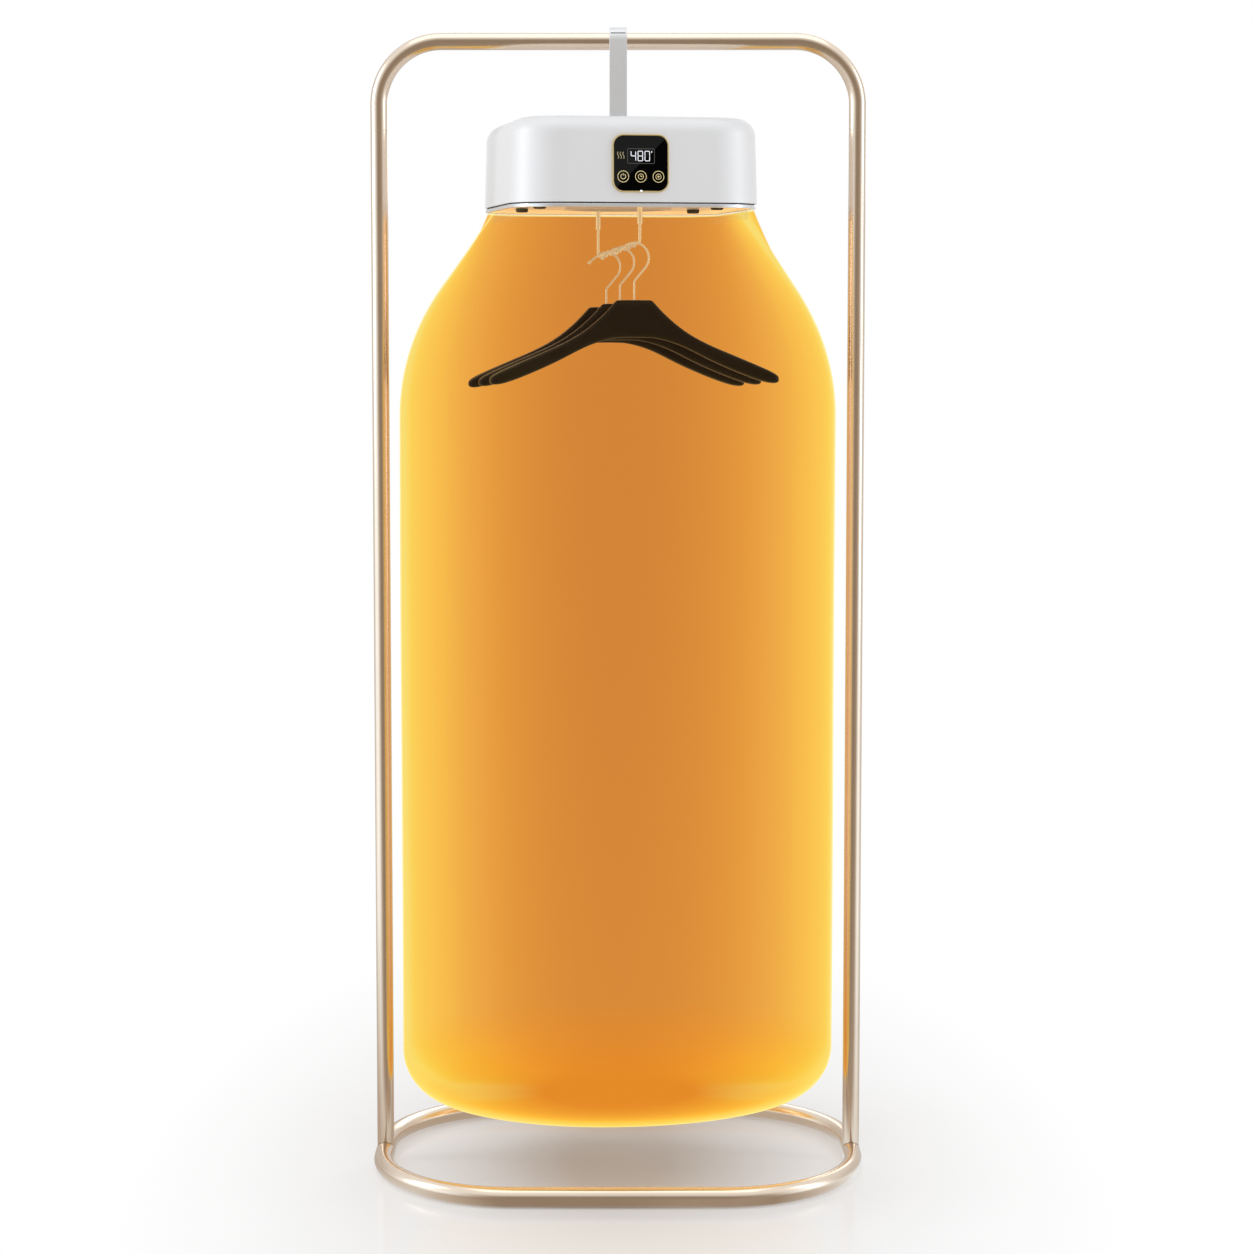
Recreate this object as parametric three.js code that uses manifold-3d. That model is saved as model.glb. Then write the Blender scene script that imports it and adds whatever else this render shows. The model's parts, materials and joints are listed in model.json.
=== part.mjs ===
// Portable clothes dryer on a bent-tube stand.
// A fan heater head hangs by a strap hook from the top bar of an arched tube frame.
// A warm-air cover bag hangs below the head, round a wavy rail that carries three clothes hangers.
// Lengths are millimetres. +Z is up, the floor is z = 0, the front faces -Y.
import * as THREE from 'three';
import { mergeVertices } from 'three/addons/utils/BufferGeometryUtils.js';
import Module from 'manifold-3d';

const wasm = await Module();
wasm.setup();

const deg = THREE.MathUtils.degToRad;

// Clearances and finish of the facets
const seatGap = 0.3; // between pieces that touch
const runGap = 1; // between pieces that slide on each other
const hangGap = 0.6; // between a hook and the wire it swings on
const overrun = 10; // how far a cutter passes the face it opens
const weld = 0.001; // vertices closer than this are one vertex
const tubeSides = 12;
const boreSides = 8;
const wireSides = 6;
const roundSides = 24;
const midSides = 16;
const smallSides = 10;

// Stand
const stand = {
  postX: 328,
  tubeRadius: 12,
  tubeWall: 1.5,
  barHeight: 1561,
  bendRadius: 86,
  jointBelowBend: 35,
  sleeveLength: 70,
  sleeveWall: 2,
};
const ring = {
  tubeRadius: 13,
  tubeWall: 1.5,
  halfDepth: 214,
  cornerRadius: 185,
  bendSteps: 3,
};
const baseBolt = {
  shankRadius: 4,
  headRadius: 6.5,
  headHeight: 7,
  headTop: 22,
  length: 34,
  accessRadius: 7.6,
  plugLength: 34,
};
const jointScrew = { shankRadius: 2.5, headRadius: 4.5, headHeight: 2.6, length: 12, belowJoint: 22 };

// Strap hook that carries the head
const hook = {
  drop: 111, // from the bar's centre to the head's top
  width: 24,
  thickness: 3,
  liner: 3,
  linerArc: 200,
  rearLeg: 38,
  rearFlare: 5,
  footBend: 6,
  footLength: 38,
  arcSteps: 6,
};
const swivel = {
  seatRadius: 28,
  seatHeight: 5,
  boltRadius: 5,
  boltHeadRadius: 8,
  boltHeadHeight: 5,
  nutRadius: 9,
  nutHeight: 7,
  threadBeyond: 3,
};

// Dryer head
const head = {
  yaw: 11,
  height: 113.5,
  half: 170,
  corner: 72,
  draft: 2.5,
  topFillet: 24,
  wall: 3,
  cornerSteps: 5,
  filletSteps: 4,
};
const trim = {
  drop: 6.5, // below the shell's rim
  shadowGap: 1.2,
  inset: 1.5,
  flange: 8.5,
  tongueWall: 3.2,
  tongueHeight: 6.5,
};
const plate = { thickness: 3, outletRadius: 66, collarDrop: 19, collarWall: 2.4 };
const grille = { flangeRadius: 73, depth: 3.8, barWidth: 2.6, slotWidth: 10 };
const foot = { sideInset: 48, y: 75, radius: 8.5, pocketRadius: 4.4, floor: 1.6 };
const caseScrew = { shankRadius: 1.7, headRadius: 3.6, headHeight: 2.6, length: 16, bossRadius: 5.5 };
const vent = { slots: 9, pitch: 14, width: 5, height: 42, aboveRim: 51.5 };
const filter = { width: 130, height: 52, thickness: 2, columns: 6, rows: 3, bar: 3 };

// Air path inside the head
const shroud = { innerRadius: 70, wall: 3, flangeRadius: 79, flangeThickness: 2.5, height: 63 };
const heater = {
  frameHalf: 48,
  frameWall: 4.5,
  frameHeight: 20,
  lip: 2.5,
  lipHeight: 2,
  fins: 10,
  finThickness: 2.2,
  coreHeight: 15,
  endBar: 5,
};
const fan = {
  blades: 7,
  hubRadius: 22,
  hubHeight: 24,
  hubWall: 2.5,
  tipRadius: 66,
  bladeThickness: 2,
  bladeSweep: 34,
  rootHeight: 20,
  tipHeight: 13,
  bladeStations: 4,
  aboveHeater: 6,
};
const motor = {
  radius: 19,
  height: 38,
  flangeRadius: 25,
  flangeThickness: 2.5,
  shaftRadius: 2.5,
  belowFlange: 11,
};
const bracket = { armWidth: 9, thickness: 3, arms: 3, rimWall: 4 };
const cutout = { width: 18, depth: 9, height: 12 };
const board = { width: 44, length: 118, thickness: 1.6, standoff: 5, standoffRadius: 3, besideShroud: 12 };
const inlet = {
  besideVents: 37.5, // from the last slot to the inlet's middle
  aboveRim: 29.5,
  flangeHalfWidth: 17,
  flangeHalfHeight: 13,
  flangeCorner: 4,
  flangeThickness: 2.2,
  bodyHalfWidth: 14,
  bodyHalfHeight: 10,
  bodyDepth: 22,
  recessHalfWidth: 12.2,
  recessHalfHeight: 8.2,
  recessChamfer: 4,
  recessDepth: 16,
  bladeWidth: 4,
  bladeThickness: 2,
  bladeLength: 13,
  poleOffset: 7,
  earthDrop: 3.8,
};

// Touch panel on the front of the head
const panel = {
  x: -3,
  aboveRim: 50.5,
  half: 38,
  corner: 15,
  bezelWidth: 1.8,
  bezelHeight: 2.6,
  glassHeight: 2.2,
  tubHalf: 33,
  tubDepth: 13,
  tubWall: 2,
  displayHalfWidth: 18,
  displayHalfHeight: 9,
  displayDepth: 4,
  boardHalf: 32,
};

// Hanging rail and hangers below the head
const rail = {
  wireRadius: 2.25,
  endInset: 20, // inside the head's edge
  drop: 53, // from the trim's underside to the wire's middle
  slopeDrop: 14,
  waveHeight: 3.4,
  waves: 9,
  waveSteps: 4,
  firstTrough: 1.14, // from the rail's front end, in waves
  troughsApart: 3, // from one hanger to the next
  endStraight: 12,
  socketRadius: 4.5,
  socketDrop: 27,
  legInsert: 24,
};
const hanger = {
  wireRadius: 1.9,
  tipRadius: 2.7,
  loopRadius: 20,
  loopHeight: 56,
  stemHeight: 26,
  stemInsert: 12,
  loopEnd: 130,
  tipLength: 15,
  loopSteps: 4,
  halfWidth: 198,
  forwardBow: 8,
  squareness: 0.6, // of the section's corners, as an exponent
  endShare: 0.55, // of the thickness left at the tip
  centreThickness: 16,
  endThickness: 26,
  sectionSides: 8,
};

// Cover bag
const bag = {
  neckInset: 3, // inside the head's edge
  neckCornerInset: 2,
  halfWidth: 302,
  halfDepth: 230,
  yaw: 5,
  bottom: 95,
  neckReach: 12, // beyond the head's edge, where the profile starts
  shoulderSlope: 0.655,
  shoulderRadius: 330,
  shoulderSteps: 3,
  bottomRadius: 70,
  bottomSteps: 4,
  film: 1.6,
  hemHeight: 13,
  sides: 32,
};

// Heights that follow from the bar's height downwards
const jointHeight = stand.barHeight - stand.bendRadius - stand.jointBelowBend;
const headTop = stand.barHeight - hook.drop;
const headBottom = headTop - head.height;
const trimBottom = headBottom - trim.drop;
const ventMiddle = headBottom + vent.aboveRim;
const inletMiddle = headBottom + inlet.aboveRim;
const panelMiddle = headBottom + panel.aboveRim;
const railHeight = trimBottom - rail.drop;

// Places that follow from the head's width
const inletX = -((vent.slots - 1) / 2) * vent.pitch - vent.width / 2 - inlet.besideVents;
const railHalf = head.half - rail.endInset;
const wavePitch = (2 * railHalf) / rail.waves;
const hangerPlaces = ['front', 'middle', 'rear'].map((name, i) => ({
  name,
  y: (rail.firstTrough + i * rail.troughsApart) * wavePitch - railHalf,
}));
const neckHalf = head.half - bag.neckInset;
const neckCorner = head.corner - bag.neckCornerInset;
const neckReach = head.half + bag.neckReach;

// Materials
const material = (color, roughness, metalness, extra = {}) =>
  new THREE.MeshStandardMaterial({ color, roughness, metalness, ...extra });
const champagne = material(0xcbb292, 0.28, 1);
const brightSteel = material(0xc6c6c8, 0.25, 1);
const zinc = material(0x9a9a9c, 0.4, 1);
const whiteShell = material(0xe9e9ea, 0.28, 0);
const silverTrim = material(0xdcdde0, 0.3, 0.2);
const greyPlastic = material(0x9c9a98, 0.5, 0);
const darkPlastic = material(0x2b2a2a, 0.55, 0);
const blackRubber = material(0x141414, 0.8, 0);
const blackGlass = material(0x060607, 0.08, 0);
const goldTrim = material(0xd9b45a, 0.25, 1);
const finAluminium = material(0xb9bbbd, 0.4, 1);
const copperBrown = material(0x8b5a3c, 0.5, 0.6);
const boardGreen = material(0x1f5a3a, 0.6, 0);
const hangerBlack = material(0x1a1614, 0.35, 0);
const warmFilm = material(0xf29a2a, 0.45, 0, { transparent: true, opacity: 0.75 });

// Solids: closed geometries joined and cut
function bareGeometry(geometry) {
  const bare = new THREE.BufferGeometry();
  bare.setAttribute('position', geometry.getAttribute('position').clone());
  if (geometry.index) bare.setIndex(geometry.index.clone());
  return bare;
}

function solidOf(geometry) {
  const merged = mergeVertices(bareGeometry(geometry), weld);
  return new wasm.Manifold(
    new wasm.Mesh({
      numProp: 3,
      vertProperties: merged.attributes.position.array,
      triVerts: new Uint32Array(merged.index.array),
    }),
  );
}

function geometryOf(solid) {
  const made = solid.getMesh();
  const places = new Float32Array(made.numVert * 3);
  for (let i = 0; i < made.numVert; i++) {
    places.set(made.vertProperties.subarray(i * made.numProp, i * made.numProp + 3), i * 3);
  }
  return new THREE.BufferGeometry()
    .setAttribute('position', new THREE.BufferAttribute(places, 3))
    .setIndex(new THREE.BufferAttribute(made.triVerts, 1));
}

const join = (...geometries) =>
  geometryOf(geometries.map(solidOf).reduce((whole, next) => whole.add(next)));

const cut = (geometry, ...cutters) =>
  geometryOf(cutters.map(solidOf).reduce((whole, next) => whole.subtract(next), solidOf(geometry)));

function placed(geometry, { x = 0, y = 0, z = 0, rx = 0, ry = 0, rz = 0 }) {
  return bareGeometry(geometry).rotateX(rx).rotateY(ry).rotateZ(rz).translate(x, y, z);
}

const box = (x, y, z) => bareGeometry(new THREE.BoxGeometry(x, y, z));

// A solid cylinder along Z that stands on z = base. Its flats, not its corners, lie at the radius.
function rod(radius, height, base, sides = smallSides) {
  const reach = radius / Math.cos(Math.PI / sides);
  return placed(new THREE.CylinderGeometry(reach, reach, height, sides), {
    rx: Math.PI / 2,
    rz: Math.PI / sides,
    z: base + height / 2,
  });
}

// A revolved solid about Z, from [radius, height] pairs that run round the section.
function turned(profile, sides = roundSides) {
  const points = [...profile, profile[0]].map(([radius, height]) => new THREE.Vector2(radius, height));
  const geometry = placed(new THREE.LatheGeometry(points, sides), { rx: Math.PI / 2 });
  return solidVolume(geometry) < 0 ? flipped(geometry) : geometry;
}

function flipped(geometry) {
  const merged = mergeVertices(bareGeometry(geometry), weld);
  const index = merged.index.array;
  for (let i = 0; i < index.length; i += 3) {
    [index[i + 1], index[i + 2]] = [index[i + 2], index[i + 1]];
  }
  return merged;
}

function solidVolume(geometry) {
  const place = geometry.getAttribute('position');
  const index = geometry.index;
  const corners = index ? index.count : place.count;
  const corner = (i) => new THREE.Vector3().fromBufferAttribute(place, index ? index.getX(i) : i);
  let volume = 0;
  for (let i = 0; i < corners; i += 3) {
    volume += corner(i).dot(corner(i + 1).cross(corner(i + 2))) / 6;
  }
  return volume;
}

// A skin through rings of equally many points. An open skin is capped at both ends.
function loft(rings, closed = false) {
  const sides = rings[0].length;
  const places = rings.flat().flatMap((p) => [p.x, p.y, p.z]);
  const index = [];
  const spans = closed ? rings.length : rings.length - 1;
  for (let r = 0; r < spans; r++) {
    const low = r * sides;
    const high = ((r + 1) % rings.length) * sides;
    for (let s = 0; s < sides; s++) {
      const next = (s + 1) % sides;
      index.push(low + s, low + next, high + next, low + s, high + next, high + s);
    }
  }
  if (!closed) {
    [0, rings.length - 1].forEach((r) => {
      const middle = rings[r].reduce((sum, p) => sum.add(p), new THREE.Vector3()).divideScalar(sides);
      const hub = places.length / 3;
      places.push(middle.x, middle.y, middle.z);
      for (let s = 0; s < sides; s++) {
        const a = r * sides + s;
        const b = r * sides + ((s + 1) % sides);
        index.push(hub, ...(r === 0 ? [b, a] : [a, b]));
      }
    });
  }
  const geometry = new THREE.BufferGeometry();
  geometry.setAttribute('position', new THREE.Float32BufferAttribute(places, 3));
  geometry.setIndex(index);
  return solidVolume(geometry) < 0 ? flipped(geometry) : geometry;
}

// A round tube or wire along points that lie in one plane, whose normal is given.
function planarTube(points, normal, radius, sides, closed = false) {
  const reach = radius / Math.cos(Math.PI / sides);
  const count = points.length;
  const rings = points.map((point, i) => {
    const before = points[closed ? (i + count - 1) % count : Math.max(i - 1, 0)];
    const after = points[closed ? (i + 1) % count : Math.min(i + 1, count - 1)];
    const along = after.clone().sub(before).normalize();
    const across = normal.clone().cross(along).normalize();
    return Array.from({ length: sides }, (_, s) => {
      const angle = ((s + 0.5) / sides) * 2 * Math.PI;
      return point
        .clone()
        .addScaledVector(across, reach * Math.cos(angle))
        .addScaledVector(normal, reach * Math.sin(angle));
    });
  });
  return loft(rings, closed);
}

function withoutRepeats(points) {
  return points.filter((p, i) => i === 0 || p.distanceTo(points[i - 1]) > weld);
}

// The points of a rounded square of a given half size, at one height.
function roundedSquare(half, corner, z, steps = head.cornerSteps) {
  const points = [];
  for (let quarter = 0; quarter < 4; quarter++) {
    const middle = new THREE.Vector2(half - corner, half - corner).rotateAround(
      new THREE.Vector2(),
      (quarter * Math.PI) / 2,
    );
    for (let i = 0; i <= steps; i++) {
      const angle = ((quarter + i / steps) * Math.PI) / 2;
      points.push(
        new THREE.Vector3(middle.x + corner * Math.cos(angle), middle.y + corner * Math.sin(angle), z),
      );
    }
  }
  return points;
}

const squareSlab = (half, corner, low, high) =>
  loft([roundedSquare(half, corner, low), roundedSquare(half, corner, high)]);

function roundedRectangle(halfX, halfY, corner) {
  const shape = new THREE.Shape();
  const x = halfX - corner;
  const y = halfY - corner;
  shape.absarc(x, y, corner, 0, Math.PI / 2);
  shape.absarc(-x, y, corner, Math.PI / 2, Math.PI);
  shape.absarc(-x, -y, corner, Math.PI, 1.5 * Math.PI);
  shape.absarc(x, -y, corner, 1.5 * Math.PI, 2 * Math.PI);
  return shape;
}

function extruded(shape, depth, curveSegments = 4) {
  return bareGeometry(new THREE.ExtrudeGeometry(shape, { depth, curveSegments, bevelEnabled: false }));
}

const whole = new THREE.Group();

function add(parent, name, geometry, finish) {
  const mesh = new THREE.Mesh(geometry, finish);
  mesh.name = name;
  parent.add(mesh);
  return mesh;
}

const up = new THREE.Vector3(0, 0, 1);
const alongX = new THREE.Vector3(1, 0, 0);
const alongY = new THREE.Vector3(0, 1, 0);

// Stand
function ringPath() {
  const x = stand.postX - ring.cornerRadius;
  const y = ring.halfDepth - ring.cornerRadius;
  const path = new THREE.Path();
  path.absarc(x, y, ring.cornerRadius, 0, Math.PI / 2);
  path.absarc(-x, y, ring.cornerRadius, Math.PI / 2, Math.PI);
  path.absarc(-x, -y, ring.cornerRadius, Math.PI, 1.5 * Math.PI);
  path.absarc(x, -y, ring.cornerRadius, 1.5 * Math.PI, 2 * Math.PI);
  return withoutRepeats(
    path.getPoints(ring.bendSteps).map((p) => new THREE.Vector3(p.x, p.y, ring.tubeRadius)),
  );
}

function makeBaseRing() {
  const path = ringPath();
  const skin = planarTube(path, up, ring.tubeRadius, tubeSides, true);
  const bore = planarTube(path, up, ring.tubeRadius - ring.tubeWall, boreSides, true);
  const holes = [-1, 1].flatMap((side) => [
    placed(rod(baseBolt.shankRadius + seatGap, 2 * ring.tubeRadius, ring.tubeRadius), {
      x: side * stand.postX,
    }),
    placed(rod(baseBolt.accessRadius, ring.tubeRadius + overrun, -overrun), { x: side * stand.postX }),
  ]);
  return cut(skin, bore, ...holes);
}

function makePost(side) {
  const foot = ring.tubeRadius;
  const height = jointHeight - foot;
  const saddleReach = 2 * stand.tubeRadius;
  const saddle = placed(rod(ring.tubeRadius + seatGap, 2 * saddleReach, -saddleReach, tubeSides), {
    rx: Math.PI / 2,
    z: foot,
  });
  const screwHole = placed(rod(jointScrew.shankRadius + seatGap, stand.tubeRadius + overrun, 0), {
    rx: -Math.PI / 2,
    z: jointHeight - jointScrew.belowJoint,
  });
  const tube = cut(
    rod(stand.tubeRadius, height, foot, tubeSides),
    rod(stand.tubeRadius - stand.tubeWall, height + 2 * overrun, foot - overrun, tubeSides),
    saddle,
    screwHole,
  );
  return placed(tube, { x: side * stand.postX });
}

function makeTopBar() {
  const x = stand.postX - stand.bendRadius;
  const z = stand.barHeight - stand.bendRadius;
  const path = new THREE.Path();
  path.moveTo(-stand.postX, jointHeight + seatGap);
  path.lineTo(-stand.postX, z);
  path.absarc(-x, z, stand.bendRadius, Math.PI, Math.PI / 2, true);
  path.absarc(x, z, stand.bendRadius, Math.PI / 2, 0, true);
  path.lineTo(stand.postX, jointHeight + seatGap);
  const route = withoutRepeats(
    path.getPoints(ring.bendSteps).map((p) => new THREE.Vector3(p.x, 0, p.y)),
  );
  const bore = route.map((p) => p.clone());
  bore[0].z -= overrun;
  bore[bore.length - 1].z -= overrun;
  return cut(
    planarTube(route, alongY, stand.tubeRadius, tubeSides),
    planarTube(bore, alongY, stand.tubeRadius - stand.tubeWall, tubeSides),
  );
}

// What slides into a post or the top bar: its corners, not its flats, keep the gap to the bore.
const insideRadius = (stand.tubeRadius - stand.tubeWall - seatGap) * Math.cos(Math.PI / tubeSides);

function makeSleeve(side) {
  const base = jointHeight - stand.sleeveLength / 2;
  const screwHole = placed(rod(jointScrew.shankRadius + seatGap, stand.tubeRadius, 0), {
    rx: -Math.PI / 2,
    z: jointHeight - jointScrew.belowJoint,
  });
  const sleeve = cut(
    rod(insideRadius, stand.sleeveLength, base, tubeSides),
    rod(insideRadius - stand.sleeveWall, stand.sleeveLength + 2 * overrun, base - overrun, tubeSides),
    screwHole,
  );
  return placed(sleeve, { x: side * stand.postX });
}

function makePostPlug(side) {
  const base = 2 * ring.tubeRadius + seatGap;
  const plug = cut(
    rod(insideRadius, baseBolt.plugLength, base, tubeSides),
    rod(baseBolt.shankRadius + seatGap, baseBolt.plugLength + 2 * overrun, base - overrun),
  );
  return placed(plug, { x: side * stand.postX });
}

function makeBaseBolt(side) {
  const { headTop, headHeight, headRadius, shankRadius, length } = baseBolt;
  const bolt = turned(
    [
      [0, headTop - headHeight],
      [headRadius, headTop - headHeight],
      [headRadius, headTop],
      [shankRadius, headTop],
      [shankRadius, headTop + length],
      [0, headTop + length],
    ],
    smallSides,
  );
  return placed(bolt, { x: side * stand.postX });
}

function makeJointScrew(side) {
  const { headRadius, headHeight, shankRadius, length } = jointScrew;
  const screw = turned(
    [
      [0, headHeight],
      [headRadius - headHeight / 2, headHeight],
      [headRadius, headHeight / 2],
      [headRadius, 0],
      [shankRadius, 0],
      [shankRadius, -length],
      [0, -length],
    ],
    smallSides,
  );
  return placed(screw, {
    rx: -Math.PI / 2,
    x: side * stand.postX,
    y: stand.tubeRadius / Math.cos(Math.PI / tubeSides) + seatGap,
    z: jointHeight - jointScrew.belowJoint,
  });
}

function buildStand() {
  add(whole, 'base_ring', makeBaseRing(), champagne);
  add(whole, 'top_bar', makeTopBar(), champagne);
  [
    ['left', -1],
    ['right', 1],
  ].forEach(([name, side]) => {
    add(whole, `${name}_post`, makePost(side), champagne);
    add(whole, `${name}_joint_sleeve`, makeSleeve(side), zinc);
    add(whole, `${name}_post_plug`, makePostPlug(side), zinc);
    add(whole, `${name}_base_bolt`, makeBaseBolt(side), zinc);
    add(whole, `${name}_joint_screw`, makeJointScrew(side), zinc);
  });
}

// Strap hook and its swivel
const barReach = stand.tubeRadius / Math.cos(Math.PI / tubeSides);
const linerInner = barReach + seatGap;
const strapInner = linerInner + hook.liner + seatGap;
const strapMiddle = strapInner + hook.thickness / 2;
const seatTop = headTop + seatGap + swivel.seatHeight;
const footUnder = seatTop + seatGap;
const footTop = footUnder + hook.thickness;

// The centre line of the strap in the plane across the bar: rear tip, over the bar, down, and back under.
function strapLine() {
  const footMiddle = footUnder + hook.thickness / 2;
  const path = new THREE.Path();
  path.moveTo(strapMiddle + hook.rearFlare, stand.barHeight - hook.rearLeg);
  path.lineTo(strapMiddle, stand.barHeight - hook.rearLeg + 2 * hook.rearFlare);
  path.lineTo(strapMiddle, stand.barHeight);
  path.absarc(0, stand.barHeight, strapMiddle, 0, Math.PI, false);
  path.lineTo(-strapMiddle, footMiddle + hook.footBend);
  const bend = hook.footBend;
  path.absarc(bend - strapMiddle, footMiddle + bend, bend, Math.PI, 1.5 * Math.PI);
  path.lineTo(-strapMiddle + hook.footLength, footMiddle);
  return path.getPoints(hook.arcSteps).filter((p, i, all) => i === 0 || p.distanceTo(all[i - 1]) > weld);
}

// A flat band of even thickness along a line, as an outline in the line's plane.
function bandShape(line, thickness) {
  const edge = (offset) =>
    line.map((point, i) => {
      const before = line[Math.max(i - 1, 0)];
      const after = line[Math.min(i + 1, line.length - 1)];
      const along = after.clone().sub(before).normalize();
      return new THREE.Vector2(point.x - along.y * offset, point.y + along.x * offset);
    });
  return new THREE.Shape([...edge(thickness / 2), ...edge(-thickness / 2).reverse()]);
}

// Turns an outline drawn in (depth, height) into a band centred on x = 0.
const acrossBar = (shape, width) =>
  placed(extruded(shape, width), { rx: Math.PI / 2, rz: Math.PI / 2, x: -width / 2 });

function makeStrapHook() {
  const strap = acrossBar(bandShape(strapLine(), hook.thickness), hook.width);
  return cut(strap, rod(swivel.boltRadius + seatGap, 2 * overrun, footUnder - overrun, smallSides));
}

function makeHookLiner() {
  const spare = deg(hook.linerArc - 180) / 2;
  const line = new THREE.Path()
    .absarc(0, stand.barHeight, linerInner + hook.liner / 2, -spare, Math.PI + spare, false)
    .getPoints(hook.arcSteps);
  return acrossBar(bandShape(line, hook.liner), hook.width - 2 * seatGap);
}

const swivelBoltEnd = headTop - head.wall - seatGap - swivel.nutHeight - swivel.threadBeyond;

function makeSwivelBolt() {
  const under = footTop + seatGap;
  return turned(
    [
      [0, swivelBoltEnd],
      [swivel.boltRadius, swivelBoltEnd],
      [swivel.boltRadius, under],
      [swivel.boltHeadRadius, under],
      [swivel.boltHeadRadius, under + swivel.boltHeadHeight / 2],
      [swivel.boltHeadRadius - swivel.boltHeadHeight / 2, under + swivel.boltHeadHeight],
      [0, under + swivel.boltHeadHeight],
    ],
    smallSides,
  );
}

function makeSwivelNut() {
  const base = headTop - head.wall - seatGap - swivel.nutHeight;
  return cut(
    rod(swivel.nutRadius, swivel.nutHeight, base, 6),
    rod(swivel.boltRadius / Math.cos(Math.PI / smallSides) + seatGap, 2 * overrun, base - overrun / 2),
  );
}

function buildHook() {
  add(whole, 'strap_hook', makeStrapHook(), brightSteel);
  add(whole, 'hook_liner', makeHookLiner(), blackRubber);
  add(whole, 'swivel_bolt', makeSwivelBolt(), zinc);
  add(whole, 'swivel_nut', makeSwivelNut(), zinc);
}

// Dryer head: its casing
const headGroup = new THREE.Group();
headGroup.rotation.z = deg(head.yaw);
whole.add(headGroup);

const shellSide = headTop - head.topFillet - headBottom; // height of the drafted side wall
const draftSlope = head.draft / shellSide;
const halfAt = (z) => head.half - (z - headBottom) * draftSlope;

// The head's outer form, moved in by an inset, from a given height up.
function headForm(inset, from) {
  const rings = [roundedSquare(halfAt(from) - inset, head.corner - inset, from)];
  const fillet = head.topFillet - inset;
  const start = headTop - head.topFillet;
  for (let i = 0; i <= head.filletSteps; i++) {
    const angle = (i / head.filletSteps) * (Math.PI / 2);
    const drawn = inset + fillet * (1 - Math.cos(angle));
    rings.push(
      roundedSquare(halfAt(start) - drawn, head.corner - drawn, start + fillet * Math.sin(angle)),
    );
  }
  return loft(rings);
}

const footPlaces = [
  ['front_left', -1, -1],
  ['front_right', 1, -1],
  ['rear_left', -1, 1],
  ['rear_right', 1, 1],
].map(([name, sx, sy]) => ({ name, x: sx * (head.half - foot.sideInset), y: sy * foot.y }));

const trimTop = headBottom - trim.shadowGap;
const plateBottom = trimTop + seatGap;
const plateTop = plateBottom + plate.thickness;
const collarHalf = head.half - trim.inset - trim.flange - 2 * seatGap;
const collarCorner = head.corner - trim.inset - trim.flange;
const bossBottom = plateTop + seatGap;

// A cutter or piece that stands on the drafted front (-1) or rear (1) wall. It is drawn with +Z outward.
function onWall(geometry, facing, x, z) {
  const tilt = Math.atan(draftSlope);
  const facingTurn = facing < 0 ? 0 : Math.PI;
  return placed(placed(geometry, { rx: Math.PI / 2 - tilt }), {
    rz: facingTurn,
    x,
    y: facing * halfAt(z),
    z,
  });
}

function makeTopShell() {
  const slots = Array.from({ length: vent.slots }, (_, i) =>
    placed(box(vent.width, 4 * head.wall, vent.height), {
      x: (i - (vent.slots - 1) / 2) * vent.pitch,
      y: halfAt(ventMiddle),
      z: ventMiddle,
    }),
  );
  const holeHalf = panel.tubHalf + seatGap;
  const panelHole = onWall(
    placed(extruded(roundedRectangle(holeHalf, holeHalf, head.wall), 4 * head.wall), {
      z: -3 * head.wall,
    }),
    -1,
    panel.x,
    panelMiddle,
  );
  const inletHole = onWall(
    placed(box(2 * (inlet.bodyHalfWidth + seatGap), 2 * (inlet.bodyHalfHeight + seatGap), 4 * head.wall), {}),
    1,
    inletX,
    inletMiddle,
  );
  const shell = cut(
    headForm(0, headBottom),
    headForm(head.wall, headBottom - overrun),
    rod(swivel.boltRadius / Math.cos(Math.PI / smallSides) + seatGap, 2 * overrun, headTop - overrun),
    panelHole,
    inletHole,
    ...slots,
  );
  const bosses = footPlaces.map(({ x, y }) =>
    placed(rod(caseScrew.bossRadius, headTop - head.wall / 2 - bossBottom, bossBottom), { x, y }),
  );
  const pilots = footPlaces.map(({ x, y }) =>
    placed(rod(caseScrew.shankRadius + seatGap, caseScrew.length + overrun, bossBottom - overrun), { x, y }),
  );
  return cut(join(shell, ...bosses), ...pilots);
}

function makeTrimRing() {
  const outer = head.half - trim.inset;
  const inner = outer - trim.flange;
  const corner = head.corner - trim.inset;
  const tongueOuter = head.half - head.wall - 2 * seatGap;
  const tongueInner = tongueOuter - trim.tongueWall;
  const tongueCorner = head.corner - head.wall;
  const flange = cut(
    squareSlab(outer, corner, trimBottom, trimTop),
    squareSlab(inner, corner - trim.flange, trimBottom - overrun, trimTop + overrun),
  );
  const tongue = cut(
    squareSlab(tongueOuter, tongueCorner, trimTop - seatGap, trimTop + trim.tongueHeight),
    squareSlab(tongueInner, tongueCorner - trim.tongueWall, trimTop - overrun, trimTop + 2 * overrun),
  );
  return join(flange, tongue);
}

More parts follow.
